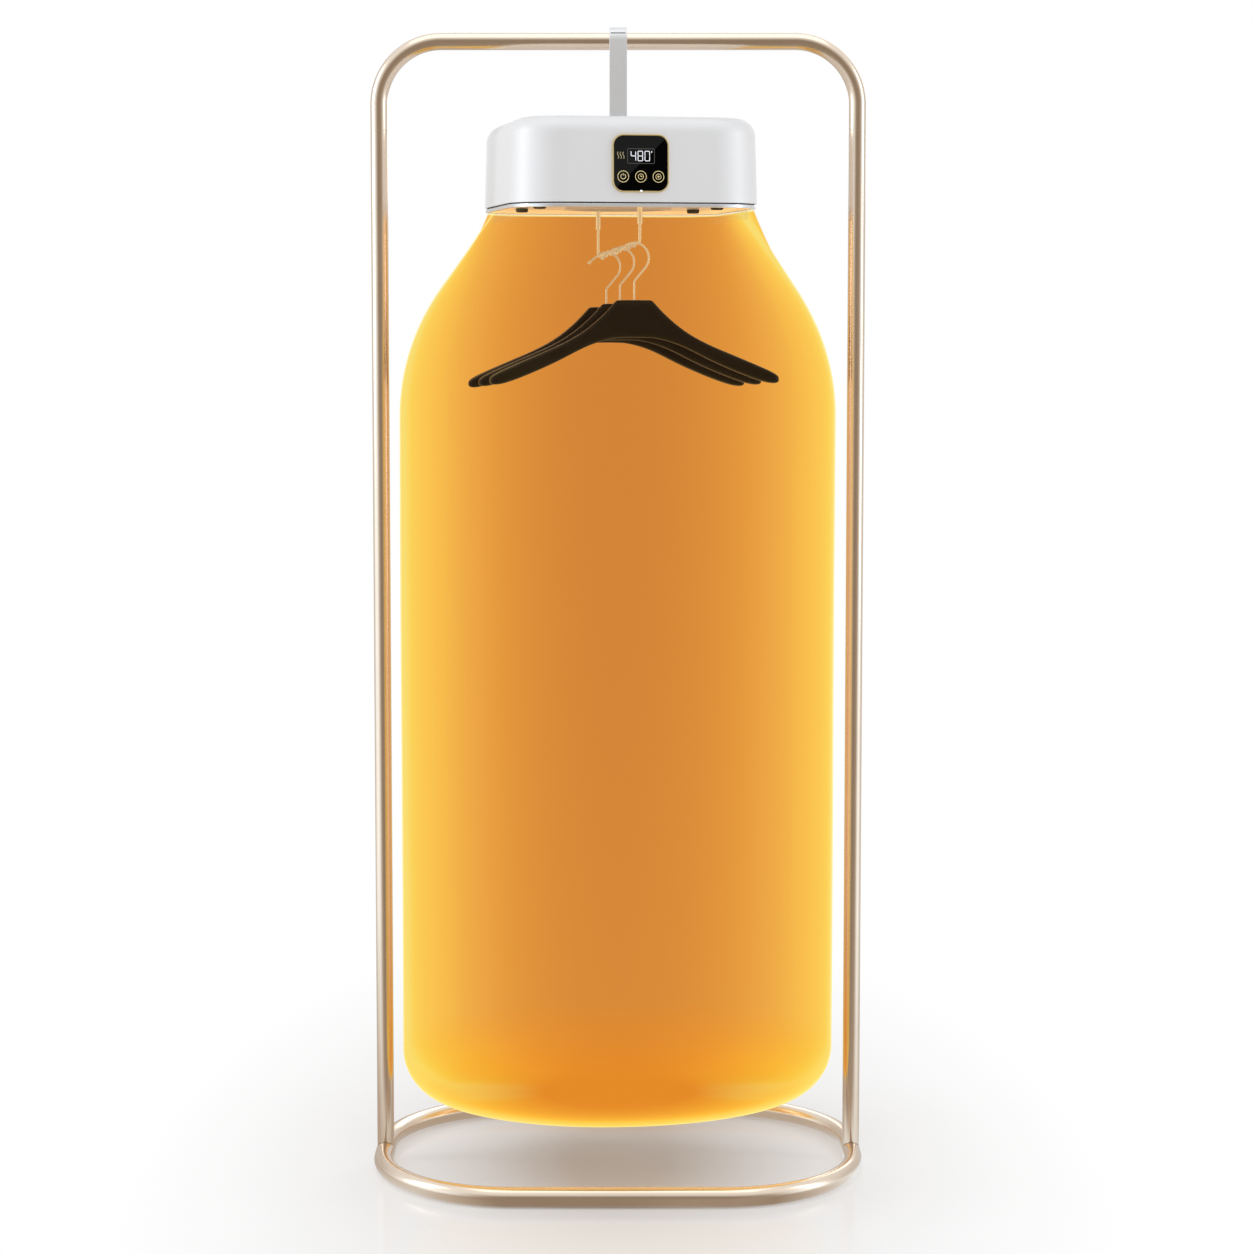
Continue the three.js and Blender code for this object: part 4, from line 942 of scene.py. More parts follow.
class Piece:
    """One mesh on the bench."""

    def __init__(self, name: str) -> None:
        """Takes the active object and names it.

        Args:
            name: The piece's name.
        """
        self.obj: bpy.types.Object = bpy.context.active_object
        self.obj.name = name
        self.obj.data.name = name

    @staticmethod
    def clear() -> None:
        """Leaves edit mode and deselects everything."""
        if bpy.context.object and bpy.context.object.mode != "OBJECT":
            bpy.ops.object.mode_set(mode="OBJECT")
        bpy.ops.object.select_all(action="DESELECT")

    @classmethod
    def slab(cls, name: str, half: Flat, z: float, corner: float, steps: int = 12) -> Piece:
        """A flat face with rounded corners at a height.

        Args:
            name: The piece's name.
            half: Half its width along X and along Y.
            z: Its height.
            corner: The corners' radius.
            steps: Spans in each corner.

        Returns:
            The piece.
        """
        cls.clear()
        bpy.ops.mesh.primitive_plane_add(size=2.0, location=(0.0, 0.0, z))
        piece = cls(name)
        piece.obj.scale = (half[0], half[1], 1.0)
        piece._settle()
        if corner > 0.0:
            piece.edit()
            size = {"offset": corner, "offset_type": "OFFSET", "segments": steps}
            bpy.ops.mesh.bevel(affect="VERTICES", clamp_overlap=False, **size)
            piece.done()
        return piece

    @classmethod
    def disc(cls, name: str, radius: float, at: Point, sides: int) -> Piece:
        """A flat round face.

        Args:
            name: The piece's name.
            radius: Its radius.
            at: Its centre.
            sides: How many sides it has.

        Returns:
            The piece.
        """
        cls.clear()
        bpy.ops.mesh.primitive_circle_add(
            vertices=sides, radius=radius, fill_type="NGON", location=at
        )
        piece = cls(name)
        piece._settle()
        return piece

    @classmethod
    def tube(
        cls, name: str, points: Sequence[Point], radius: float, sides: int, closed: bool = False
    ) -> Piece:
        """A round tube or wire along points.

        Args:
            name: The piece's name.
            points: Its centre line.
            radius: Its radius.
            sides: The bevel's resolution.
            closed: True for a ring.

        Returns:
            The piece, with its ends closed.
        """
        curve = cls._path(points, closed)
        curve.bevel_depth = radius
        curve.bevel_resolution = sides
        curve.use_fill_caps = not closed
        bpy.ops.object.convert(target="MESH")
        return cls(name).tidy()

    @classmethod
    def ribbon(cls, name: str, points: Sequence[Flat], width: float, thickness: float) -> Piece:
        """A flat strip along a line in the YZ plane, centred on X.

        Args:
            name: The piece's name.
            points: Its middle line as (depth, height).
            width: Its width along X.
            thickness: Its thickness, half on each side of the line.

        Returns:
            The piece.
        """
        cls._path([(-width / 2, y, z) for y, z in points], False)
        bpy.ops.object.convert(target="MESH")
        piece = cls(name)
        piece.edit()
        piece.extrude((width, 0.0, 0.0))
        piece.done()
        piece.modify("SOLIDIFY", thickness=thickness, offset=0.0, use_even_offset=True)
        return piece.outward()

    @classmethod
    def _path(cls, points: Sequence[Point], closed: bool) -> bpy.types.Curve:
        """Adds a curve with one straight-sided spline.

        Args:
            points: The spline's points.
            closed: True for a ring.

        Returns:
            The curve.
        """
        cls.clear()
        bpy.ops.curve.primitive_nurbs_path_add()
        curve = bpy.context.active_object.data
        curve.dimensions = "3D"
        curve.splines.clear()
        spline = curve.splines.new("POLY")
        spline.points.add(len(points) - 1)
        for knot, point in zip(spline.points, points):
            knot.co = (*point, 1.0)
        spline.use_cyclic_u = closed
        spline.use_smooth = True
        return curve

    @classmethod
    def turned(cls, name: str, profile: Sequence[Flat], sides: int) -> Piece:
        """A piece spun about Z.

        Args:
            name: The piece's name.
            profile: Its outline as (radius, height).
            sides: How many sides it has.

        Returns:
            The piece.
        """
        cls.clear()
        bpy.ops.mesh.primitive_plane_add(size=1.0)
        piece = cls(name)
        piece.edit()
        piece.pick(Part.VERTS, lambda v: v.co.x > 0.0 or v.co.y > 0.0)
        bpy.ops.mesh.delete(type="VERT")
        bpy.ops.mesh.select_all(action="SELECT")
        start = Vector((-0.5, -0.5, 0.0))
        places = [Vector((radius, 0.0, height)) for radius, height in profile]
        bpy.ops.transform.translate(value=places[0] - start)
        for here, after in zip(places, places[1:]):
            piece.extrude(after - here)
        bpy.ops.mesh.select_all(action="SELECT")
        axis = (0.0, 0.0, 1.0)
        bpy.ops.mesh.spin(steps=sides, angle=2 * math.pi, center=(0.0, 0.0, 0.0), axis=axis)
        piece.done()
        return piece.tidy()

    @classmethod
    def rolled(
        cls, name: str, rings: Sequence[Sequence[Vector]], caps: tuple[bool, bool] = (True, True)
    ) -> Piece:
        """A grid rolled into a tube through rings of equally many points.

        Args:
            name: The piece's name.
            rings: The rings, from one end to the other.
            caps: Whether the first and the last ring are closed with a face.

        Returns:
            The piece.
        """
        cls.clear()
        sides, levels = len(rings[0]), len(rings)
        bpy.ops.mesh.primitive_grid_add(x_subdivisions=sides, y_subdivisions=levels - 1, size=1.0)
        piece = cls(name)
        verts = piece.obj.data.vertices
        for row, ring in enumerate(rings):
            for column in range(sides + 1):
                verts[row * (sides + 1) + column].co = ring[column % sides]
        piece.edit()
        bpy.ops.mesh.remove_doubles(threshold=BENCH_DOUBLES)
        for cap, ring in zip(caps, (rings[0], rings[-1])):
            if cap:
                piece._cap(ring)
        piece.done()
        return piece.outward()

    def _cap(self, ring: Sequence[Vector]) -> None:
        """Closes the open ring that lies on these points.

        Args:
            ring: The points.
        """
        centre = sum(ring, Vector()) / len(ring)
        reach = max((p - centre).length for p in ring) * 1.01
        if reach < BENCH_DOUBLES * 10:
            return
        bpy.ops.mesh.select_all(action="DESELECT")
        mesh = bmesh.from_edit_mesh(self.obj.data)
        for edge in mesh.edges:
            middle = (edge.verts[0].co + edge.verts[1].co) / 2
            edge.select_set(edge.is_boundary and (middle - centre).length < reach)
        bmesh.update_edit_mesh(self.obj.data)
        bpy.ops.mesh.edge_face_add()

    def _settle(self) -> None:
        """Puts the object's place and scale into its mesh."""
        bpy.ops.object.transform_apply(location=True, rotation=True, scale=True)

    def take(self) -> None:
        """Selects this piece alone, in object mode."""
        self.clear()
        self.obj.select_set(True)
        bpy.context.view_layer.objects.active = self.obj

    def edit(self) -> None:
        """Goes into edit mode on this piece alone, with all of it selected."""
        self.take()
        bpy.ops.object.mode_set(mode="EDIT")
        bpy.ops.mesh.select_mode(type="VERT")
        bpy.ops.mesh.select_all(action="SELECT")

    def done(self) -> None:
        """Back to object mode."""
        bpy.ops.object.mode_set(mode="OBJECT")

    @staticmethod
    def extrude(move: Point) -> None:
        """Extrudes what is selected, in edit mode."""
        bpy.ops.mesh.extrude_region_move(TRANSFORM_OT_translate={"value": move})

    def pick(
        self, part: Part, test: Callable[[bmesh.types.BMVert | bmesh.types.BMFace], bool]
    ) -> None:
        """Selects some verts or faces, in edit mode.

        Args:
            part: Verts or faces.
            test: True for those to select.
        """
        bpy.ops.mesh.select_mode(type=part.value)
        bpy.ops.mesh.select_all(action="DESELECT")
        mesh = bmesh.from_edit_mesh(self.obj.data)
        group = {Part.VERTS: mesh.verts, Part.FACES: mesh.faces}[part]
        for item in group:
            if test(item):
                item.select_set(True)
        mesh.select_flush_mode()
        bmesh.update_edit_mesh(self.obj.data)

    def raise_by(self, height: float) -> Piece:
        """Extrudes everything upwards into a solid.

        Args:
            height: How far.

        Returns:
            The piece.
        """
        self.edit()
        self.extrude((0.0, 0.0, height))
        self.done()
        return self.outward()

    def hollow(self, rim: float) -> Piece:
        """Insets a flat face and takes out its middle, so that a flat ring is left.

        Args:
            rim: The ring's width.

        Returns:
            The piece.
        """
        self.edit()
        bpy.ops.mesh.select_mode(type="FACE")
        bpy.ops.mesh.inset(thickness=rim, depth=0.0)
        bpy.ops.mesh.delete(type="FACE")
        self.done()
        return self

    def outward(self) -> Piece:
        """Turns all faces outwards.

        Returns:
            The piece.
        """
        self.edit()
        bpy.ops.mesh.normals_make_consistent(inside=False)
        self.done()
        return self

    def tidy(self) -> Piece:
        """Merges doubles and turns all faces outwards.

        Returns:
            The piece.
        """
        self.edit()
        bpy.ops.mesh.remove_doubles(threshold=BENCH_DOUBLES)
        self.done()
        return self.outward()

    def modify(self, kind: str, **settings: object) -> Piece:
        """Adds a modifier and applies it.

        Args:
            kind: The modifier's type.
            **settings: Its settings.

        Returns:
            The piece.
        """
        self.take()
        modifier = self.obj.modifiers.new(kind.lower(), kind)
        for key, value in settings.items():
            setattr(modifier, key, value)
        bpy.ops.object.modifier_apply(modifier=modifier.name)
        return self

    def round_edges(self, width: float, segments: int = 3, angle: float = EDGE_ANGLE) -> Piece:
        """Rounds the piece's edges that are sharper than an angle in degrees."""
        limit = {"limit_method": "ANGLE", "angle_limit": math.radians(angle)}
        return self.modify("BEVEL", width=width, segments=segments, harden_normals=False, **limit)

    def cut(self, cutter: Piece) -> Piece:
        """Takes another piece's solid out of this one, and removes that piece.

        Args:
            cutter: The other piece.

        Returns:
            The piece.
        """
        self.modify("BOOLEAN", operation="DIFFERENCE", solver="EXACT", object=cutter.obj)
        bpy.data.objects.remove(cutter.obj, do_unlink=True)
        return self

    def copy(self, name: str) -> Piece:
        """Makes a copy with its own mesh.

        Args:
            name: The copy's name.

        Returns:
            The copy.
        """
        self.take()
        bpy.ops.object.duplicate(linked=False)
        return Piece(name)

    def join(self, others: Sequence[Piece], name: str) -> Piece:
        """Joins other pieces into this one.

        Args:
            others: The other pieces.
            name: The name of the whole.

        Returns:
            The piece.
        """
        self.take()
        for other in others:
            other.obj.select_set(True)
        bpy.ops.object.join()
        self.obj.name = name
        return self

    def place(self, matrix: Matrix) -> Piece:
        """Moves the mesh by a matrix and leaves the object at the origin.

        Args:
            matrix: The move.

        Returns:
            The piece.
        """
        self.take()
        self.obj.matrix_world = matrix @ self.obj.matrix_world
        self._settle()
        return self

    def smooth(self, angle: float = 35.0) -> Piece:
        """Smooth shading, led by the large faces.

        Args:
            angle: The angle in degrees past which an edge stays sharp.

        Returns:
            The piece.
        """
        self.take()
        bpy.ops.object.shade_smooth_by_angle(angle=math.radians(angle))
        return self.modify("WEIGHTED_NORMAL", keep_sharp=True)

    def dress(self, body: str, finish: Finish, slot: str, stands_for: Sequence[str] = ()) -> Piece:
        """Gives the piece its finish and sets it on its body.

        Args:
            body: The CAD body it rides on.
            finish: Its finish.
            slot: The record's material slot; not used.
            stands_for: CAD nodes that it replaces.

        Returns:
            The piece.
        """
        self.clear()
        self.obj.data.materials.clear()
        self.obj.data.materials.append(finish.material())
        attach(self.obj, body)
        if stands_for:
            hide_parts(*stands_for)
        log.info("%s: %d faces, rides on %s", self.obj.name, len(self.obj.data.polygons), body)
        return self


def dress_node(frame: dict, node: str, finish: Finish) -> None:
    """Gives a CAD node's own mesh a finish.

    Args:
        frame: The loaded frame.
        node: The node's name.
        finish: Its finish.
    """
    obj = frame["nodes"][node]
    obj.data.materials.clear()
    obj.data.materials.append(finish.material())
    log.info("%s: CAD node in %s", node, finish.name)


# ---- The stand --------------------------------------------


@dataclass
class Stand:
    """Base ring, two posts, the bent top bar and their fixings."""

    post_x: float = 0.328
    tube_radius: float = 0.0118
    tube_sides: int = 10
    bar_height: float = 1.561
    bend_radius: float = 0.086
    bend_steps: int = 28
    joint_height: float = 1.44
    joint_gap: float = 0.0003
    ring_radius: float = 0.0132
    ring_centre: float = 0.013
    ring_half_depth: float = 0.214
    ring_corner: float = 0.185
    above_foot: Flat = (0.036, 0.04)
    below_top: float = 0.004
    saddle_radii: float = 4.0
    post_edge: float = 0.0004
    screw_below_joint: float = 0.022
    # The screw's dome as (radius, height)
    dome: tuple[Flat, ...] = (
        (0.0, 0.0028), (0.0016, 0.0027), (0.0034, 0.002), (0.0044, 0.0006), (0.0045, 0.0),
        (0.0, 0.0),
    )
    dome_sides: int = 28
    recess_half: Flat = (0.0022, 0.00045)
    recess_floor: float = 0.0013
    recess_rise: float = 0.004
    dome_angle: float = 30.0

    def build(self, frame: dict) -> None:
        """Makes and dresses the whole stand.

        Args:
            frame: The loaded frame.
        """
        self.make_ring()
        self.make_bar()
        for side in Side:
            self.make_post(side)
            self.make_screw(side)
            for node in ("joint_sleeve", "post_plug", "base_bolt"):
                dress_node(frame, f"{side.name.lower()}_{node}", ZINC)

    def tube(self, name: str, points: Sequence[Point], closed: bool = False) -> Piece:
        """A length of the stand's tube, or the ring's when it is closed."""
        radius = self.ring_radius if closed else self.tube_radius
        return Piece.tube(name, points, radius, self.tube_sides, closed)

    def dress_tube(self, piece: Piece, node: str, angle: float = TUBE_ANGLE) -> None:
        """Smooths a tube and gives it its finish."""
        piece.smooth(angle).dress("stand", CHAMPAGNE, "champagne_tube", [node])

    def make_ring(self) -> None:
        """The base ring, one closed bent tube."""
        x = self.post_x - self.ring_corner
        y = self.ring_half_depth - self.ring_corner
        line: list[Flat] = []
        for turn, centre in enumerate(((x, y), (-x, y), (-x, -y), (x, -y))):
            line += arc(centre, self.ring_corner, 90 * turn, 90 * turn + 90, self.bend_steps)
        points = [(px, py, self.ring_centre) for px, py in line]
        self.dress_tube(self.tube("base_ring_tube", points, closed=True), "base_ring")

    def make_bar(self) -> None:
        """The top bar: up, round, across, round and down."""
        x = self.post_x - self.bend_radius
        z = self.bar_height - self.bend_radius
        line = [(-self.post_x, self.joint_height + self.joint_gap)]
        line += arc((-x, z), self.bend_radius, 180, 90, self.bend_steps)
        line += arc((x, z), self.bend_radius, 90, 0, self.bend_steps)
        line += [(self.post_x, self.joint_height + self.joint_gap)]
        self.dress_tube(self.tube("top_bar_tube", [(px, 0.0, pz) for px, pz in line]), "top_bar")

    def make_post(self, side: Side) -> None:
        """A post whose foot is cut to sit on the ring.

        Args:
            side: The post's side.
        """
        name = side.name.lower()
        x = side.value * self.post_x
        top = self.joint_height
        heights = (self.ring_centre, *self.above_foot, top - self.below_top, top)
        post = self.tube(f"{name}_post_tube", [(x, 0.0, z) for z in heights])
        reach = self.saddle_radii * self.tube_radius
        across = [(x, y, self.ring_centre) for y in (-reach, reach)]
        radius = self.ring_radius + self.joint_gap
        post.cut(Piece.tube("saddle", across, radius, self.tube_sides))
        post.round_edges(self.post_edge, 2, SOFT_ANGLE)
        self.dress_tube(post, f"{name}_post", SOFT_ANGLE)

    def make_screw(self, side: Side) -> None:
        """A domed joint screw with a cross recess, at the back of the joint.

        Args:
            side: The side of the joint.
        """
        name = side.name.lower()
        screw = Piece.turned(f"{name}_joint_screw_head", self.dome, self.dome_sides)
        for turn in (0.0, 90.0):
            slot = Piece.slab("slot", self.recess_half, self.recess_floor, 0.0)
            slot.raise_by(self.recess_rise)
            screw.cut(slot.place(Matrix.Rotation(math.radians(turn), 4, "Z")))
        height = self.joint_height - self.screw_below_joint
        place = Matrix.Translation((side.value * self.post_x, self.tube_radius, height))
        screw.place(place @ Matrix.Rotation(-math.pi / 2, 4, "X"))
        screw.smooth(self.dome_angle)
        screw.dress("stand", ZINC, "zinc_hardware", [f"{name}_joint_screw"])


# ---- The strap hook ---------------------------------------


@dataclass
class StrapHook:
    """The flat hook over the bar, its liner and its swivel."""

    bar_height: float = 1.561
    width: float = 0.024
    thickness: float = 0.003
    edge: float = 0.0006
    middle_radius: float = 0.017523
    bend_steps: int = 28
    rear_leg: float = 0.038
    rear_flare: float = 0.005
    foot_middle: float = 1.4571
    foot_bend: float = 0.006
    foot_steps: int = 8
    foot_length: float = 0.038
    slot_angle: float = 148.0
    slot_width: float = 0.0206
    slot_height: float = 0.0019
    slot_corner: float = 0.0005
    slot_reach: float = 0.005
    liner_radius: float = 0.014223
    liner_arc: float = 200.0
    liner_steps: int = 32
    liner_inset: float = 0.001
    liner_thickness: float = 0.003
    liner_edge: float = 0.0005

    def build(self, frame: dict) -> None:
        """Makes and dresses the hook.

        Args:
            frame: The loaded frame.
        """
        self.make_strap()
        self.make_liner()
        for node in ("swivel_bolt", "swivel_nut"):
            dress_node(frame, node, ZINC)

    def strap_line(self) -> list[Flat]:
        """The strap's middle line.

        Returns:
            Its points as (depth, height), from the rear tip over the bar to the foot.
        """
        r, top = self.middle_radius, self.bar_height
        flare, leg = self.rear_flare, self.rear_leg
        line = [(r + flare, top - leg), (r, top - leg + 2 * flare)]
        line += arc((0.0, top), r, 0, 180, self.bend_steps)
        bend = (self.foot_bend - r, self.foot_middle + self.foot_bend)
        line += arc(bend, self.foot_bend, 180, 270, self.foot_steps)
        line.append((self.foot_length - r, self.foot_middle))
        return line

    def make_strap(self) -> None:
        """The strap: a bent strip with soft edges and a slot over its front bend."""
        line = self.strap_line()
        strap = Piece.ribbon("strap_hook_strip", line, self.width, self.thickness)
        strap.round_edges(self.edge)
        angle = math.radians(self.slot_angle)
        half = (self.slot_width / 2, self.slot_height / 2)
        slot = Piece.slab("slot", half, -self.slot_reach, self.slot_corner, 4)
        slot.raise_by(2 * self.slot_reach)
        across, up = (self.middle_radius * f(angle) for f in (math.cos, math.sin))
        at = Matrix.Translation((0.0, across, self.bar_height + up))
        slot.place(at @ Matrix.Rotation(angle - math.pi / 2, 4, "X"))
        strap.cut(slot)
        strap.smooth().dress("hook", STRAP_STEEL, "strap_steel", ["strap_hook"])

    def make_liner(self) -> None:
        """The rubber liner between the strap and the bar."""
        spare = (self.liner_arc - 180) / 2
        middle = (0.0, self.bar_height)
        line = arc(middle, self.liner_radius, -spare, 180 + spare, self.liner_steps)
        width = self.width - self.liner_inset
        liner = Piece.ribbon("hook_liner_strip", line, width, self.liner_thickness)
        liner.round_edges(self.liner_edge, 2)
        liner.smooth().dress("hook", RUBBER_BLACK, "rubber_black", ["hook_liner"])


# ---- The head ---------------------------------------------


@dataclass
class Head:
    """The dryer head: shell, trim, underside and works."""

    yaw: float = 11.0
    bottom: float = 1.3365
    top: float = 1.45
    half: float = 0.17
    corner: float = 0.072
    corner_steps: int = 18
    draft: float = 0.0025
    fillet: float = 0.024
    fillet_steps: int = 12
    wall: float = 0.003
    rim_edge: float = 0.0008
    shell_angle: float = 32.0

    # Openings, cut from hole_floor under the wall's face
    hole_floor: float = -0.009
    hole_rise: float = 0.012
    panel_at: Flat = (-0.003, 1.387)
    panel_hole: float = 0.0333
    panel_corner: float = 0.003
    inlet_at: Flat = (-0.096, 1.366)
    inlet_half: Flat = (0.0143, 0.0103)
    vents: int = 9
    vent_pitch: float = 0.014
    vent_half: Flat = (0.0025, 0.021)
    vent_height: float = 1.388
    vent_rise: float = 0.014
    vent_round_share: float = 0.98

    # The ring round the lower edge and the tongue in the gap above it, dark as a painted shadow in
    # the gap
    trim_bottom: float = 1.33
    trim_height: float = 0.005
    trim_half: float = 0.1685
    trim_corner_inset: float = 0.0015
    trim_rim: float = 0.0085
    trim_edge: float = 0.0012
    tongue_half: float = 0.1664
    tongue_corner_inset: float = 0.003
    tongue_wall: float = 0.0032
    tongue_height: float = 0.0069

    # The underside
    plate_bottom: float = 1.3356
    plate_half: float = 0.1626
    plate_corner_inset: float = 0.0062
    plate_thickness: float = 0.003
    plate_edge: float = 0.0006
    outlet_radius: float = 0.066
    outlet_sides: int = 64
    outlet_reach: float = 0.01
    outlet_rise: float = 0.03
    collar_half: float = 0.1594
    collar_corner: float = 0.062
    collar_bottom: float = 1.3166
    collar_wall: float = 0.0024
    # A rubber foot and the swivel seat as (radius, height)
    foot: tuple[Flat, ...] = (
        (0.0, 0.0), (0.0066, 0.0), (0.0079, 0.0005), (0.0086, 0.0016), (0.0088, 0.0053),
        (0.0, 0.0053),
    )
    foot_sides: int = 32
    seat: tuple[Flat, ...] = (
        (0.0056, 1.4503), (0.028, 1.4503), (0.028, 1.4534), (0.0272, 1.4546), (0.0258, 1.4553),
        (0.0056, 1.4553),
    )
    seat_sides: int = 64
    works: tuple[tuple[Finish, tuple[str, ...]], ...] = (
        (PLASTIC_DARK, ("intake_filter", "fan_shroud", "fan_impeller", "thermal_cutout")),
        (PLASTIC_DARK, ("power_inlet", "panel_tub")),
        (ZINC, ("motor_shaft", "fan_motor", "motor_bracket")),
        (FIN_ALUMINIUM, ("heater_core",)),
        (HEATER_BROWN, ("heater_frame",)),
        (BOARD_GREEN, ("power_board", "control_board")),
        (PANEL_GLASS, ("display_module",)),
    )

    @property
    def turn(self) -> Matrix:
        """The head's turn about the swivel."""
        return Matrix.Rotation(math.radians(self.yaw), 4, "Z")

    @property
    def slope(self) -> float:
        """How far the side wall leans in per metre of height."""
        return self.draft / (self.top - self.fillet - self.bottom)

    def half_at(self, z: float) -> float:
        """Half the shell's width at a height of its side wall."""
        return self.half - (z - self.bottom) * self.slope

    def on_wall(self, end: End, x: float, z: float) -> Matrix:
        """The place on a wall where a piece drawn with +Z outward stands.

        Args:
            end: The front or the rear wall.
            x: Its place across the head.
            z: Its height.

        Returns:
            The place.
        """
        turn = Matrix.Rotation(0.0 if end is End.FRONT else math.pi, 4, "Z")
        lean = Matrix.Rotation(math.pi / 2 - math.atan(self.slope), 4, "X")
        return self.turn @ Matrix.Translation((x, end.value * self.half_at(z), z)) @ turn @ lean

    def square(self, name: str, half: float, z: float, corner: float) -> Piece:
        """A flat rounded square, with the head's number of spans in its corners."""
        return Piece.slab(name, (half, half), z, corner, self.corner_steps)

    def settle(self, piece: Piece, finish: Finish, slot: str, nodes: Sequence[str] = ()) -> None:
        """Turns a piece with the head, and dresses it."""
        piece.place(self.turn).smooth().dress("head", finish, slot, nodes)

    def build(self, frame: dict) -> None:
        """Makes and dresses the whole head.

        Args:
            frame: The loaded frame.
        """
        self.make_shell()
        self.make_trim()
        self.make_underside(frame)
        self.make_seat()
        for finish, nodes in self.works:
            for node in nodes:
                dress_node(frame, node, finish)

    def make_shell(self) -> None:
        """The shell: a drafted rounded square with a rolled top edge, hollowed and cut."""
        shell = self.square("head_shell", self.half, self.bottom, self.corner)
        shell.edit()
        side_top = self.top - self.fillet
        shrink = (self.half - self.draft) / self.half
        shell.extrude((0.0, 0.0, side_top - self.bottom))
        bpy.ops.transform.resize(value=(shrink, shrink, 1.0), center_override=(0.0, 0.0, side_top))
        bpy.ops.mesh.select_mode(type="FACE")
        for i in range(self.fillet_steps):
            low, high = (math.pi / 2 * (i + k) / self.fillet_steps for k in (0, 1))
            inward = self.fillet * (math.cos(low) - math.cos(high))
            upward = self.fillet * (math.sin(high) - math.sin(low))
            bpy.ops.mesh.inset(thickness=inward, depth=upward)
        shell.pick(Part.FACES, lambda f: f.calc_center_median().z < self.bottom + 1e-5)
        bpy.ops.mesh.delete(type="FACE")
        shell.done()
        shell.tidy()
        shell.modify("SOLIDIFY", thickness=self.wall, offset=-1.0, use_even_offset=True)
        shell.round_edges(self.rim_edge, 2)
        shell.place(self.turn)
        self.cut_shell(shell)
        shell.smooth(self.shell_angle).dress("head", SHELL_WHITE, "shell_white", ["top_shell"])

    def cut_shell(self, shell: Piece) -> None:
        """Cuts the panel's and the inlet's hole and the row of vents.

        Args:
            shell: The shell in its place.
        """
        panel = (self.panel_hole, self.panel_hole)
        holes = [
            (End.FRONT, self.panel_at, panel, self.panel_corner, 3, self.hole_rise),
            (End.REAR, self.inlet_at, self.inlet_half, 0.0, 1, self.hole_rise),
        ]
        corner = self.vent_half[0] * self.vent_round_share
        for i in range(self.vents):
            at = ((i - (self.vents - 1) / 2) * self.vent_pitch, self.vent_height)
            holes.append((End.REAR, at, self.vent_half, corner, 6, self.vent_rise))
        for end, at, half, corner, steps, rise in holes:
            hole = Piece.slab("hole", half, self.hole_floor, corner, steps).raise_by(rise)
            shell.cut(hole.place(self.on_wall(end, *at)))

    def make_trim(self) -> None:
        """The bright ring round the lower edge, and the tongue in the gap above it, dark as a
        painted shadow in the gap.
        """
        corner = self.corner - self.trim_corner_inset
        trim = self.square("trim_ring_band", self.trim_half, self.trim_bottom, corner)
        trim.hollow(self.trim_rim).raise_by(self.trim_height)
        trim.round_edges(self.trim_edge)
        self.settle(trim, TRIM_SILVER, "trim_silver", ["trim_ring"])
        low, corner = self.trim_bottom + self.trim_height, self.corner - self.tongue_corner_inset
        tongue = self.square("trim_tongue_painted_shade", self.tongue_half, low, corner)
        tongue.hollow(self.tongue_wall).raise_by(self.tongue_height)
        # The tongue's dark plastic is painted shade: the shadow in the gap under the shell.
        self.settle(tongue, PLASTIC_DARK, "plastic_dark")

    def make_underside(self, frame: dict) -> None:
        """The plate with its outlet, the clear collar that the bag grips, and what shows under it.

        Args:
            frame: The loaded frame.
        """
        low, corner = self.plate_bottom, self.corner - self.plate_corner_inset
        plate = self.square("underside_plate", self.plate_half, low, corner)
        plate.raise_by(self.plate_thickness)
        under = (0.0, 0.0, low - self.outlet_reach)
        outlet = Piece.disc("outlet", self.outlet_radius, under, self.outlet_sides)
        plate.cut(outlet.raise_by(self.outlet_rise))
        plate.round_edges(self.plate_edge, 2)
        self.settle(plate, PLATE_GREY, "plate_grey", ["bottom_plate"])
        corner = self.collar_corner
        collar = self.square("neck_collar", self.collar_half, self.collar_bottom, corner)
        collar.hollow(self.collar_wall).raise_by(self.plate_bottom - self.collar_bottom)
        collar.round_edges(self.rim_edge)
        self.settle(collar, COLLAR_CLEAR, "plate_grey")
        dress_node(frame, "outlet_grille", PLATE_GREY)
        for place in ("front_left", "front_right", "rear_left", "rear_right"):
            dress_node(frame, f"case_screw_{place}", ZINC)
            self.make_foot(place)

    def make_foot(self, place: str) -> None:
        """A soft-edged rubber foot under the plate.

        Args:
            place: The corner that it is in.
        """
        lowest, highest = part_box(f"rubber_foot_{place}")
        centre = (lowest + highest) / 2
        foot = Piece.turned(f"foot_{place}", self.foot, self.foot_sides)
        foot.place(Matrix.Translation((centre.x, centre.y, lowest.z)))
        foot.smooth(TURNED_ANGLE)
        foot.dress("head", RUBBER_BLACK, "rubber_black", [f"rubber_foot_{place}"])

    def make_seat(self) -> None:
        """The low disc on which the strap's foot turns."""
        seat = Piece.turned("swivel_seat_disc", self.seat, self.seat_sides)
        seat.modify("WELD", merge_threshold=BENCH_DOUBLES)
        seat.smooth().dress("head", TRIM_SILVER, "trim_silver", ["swivel_seat"])


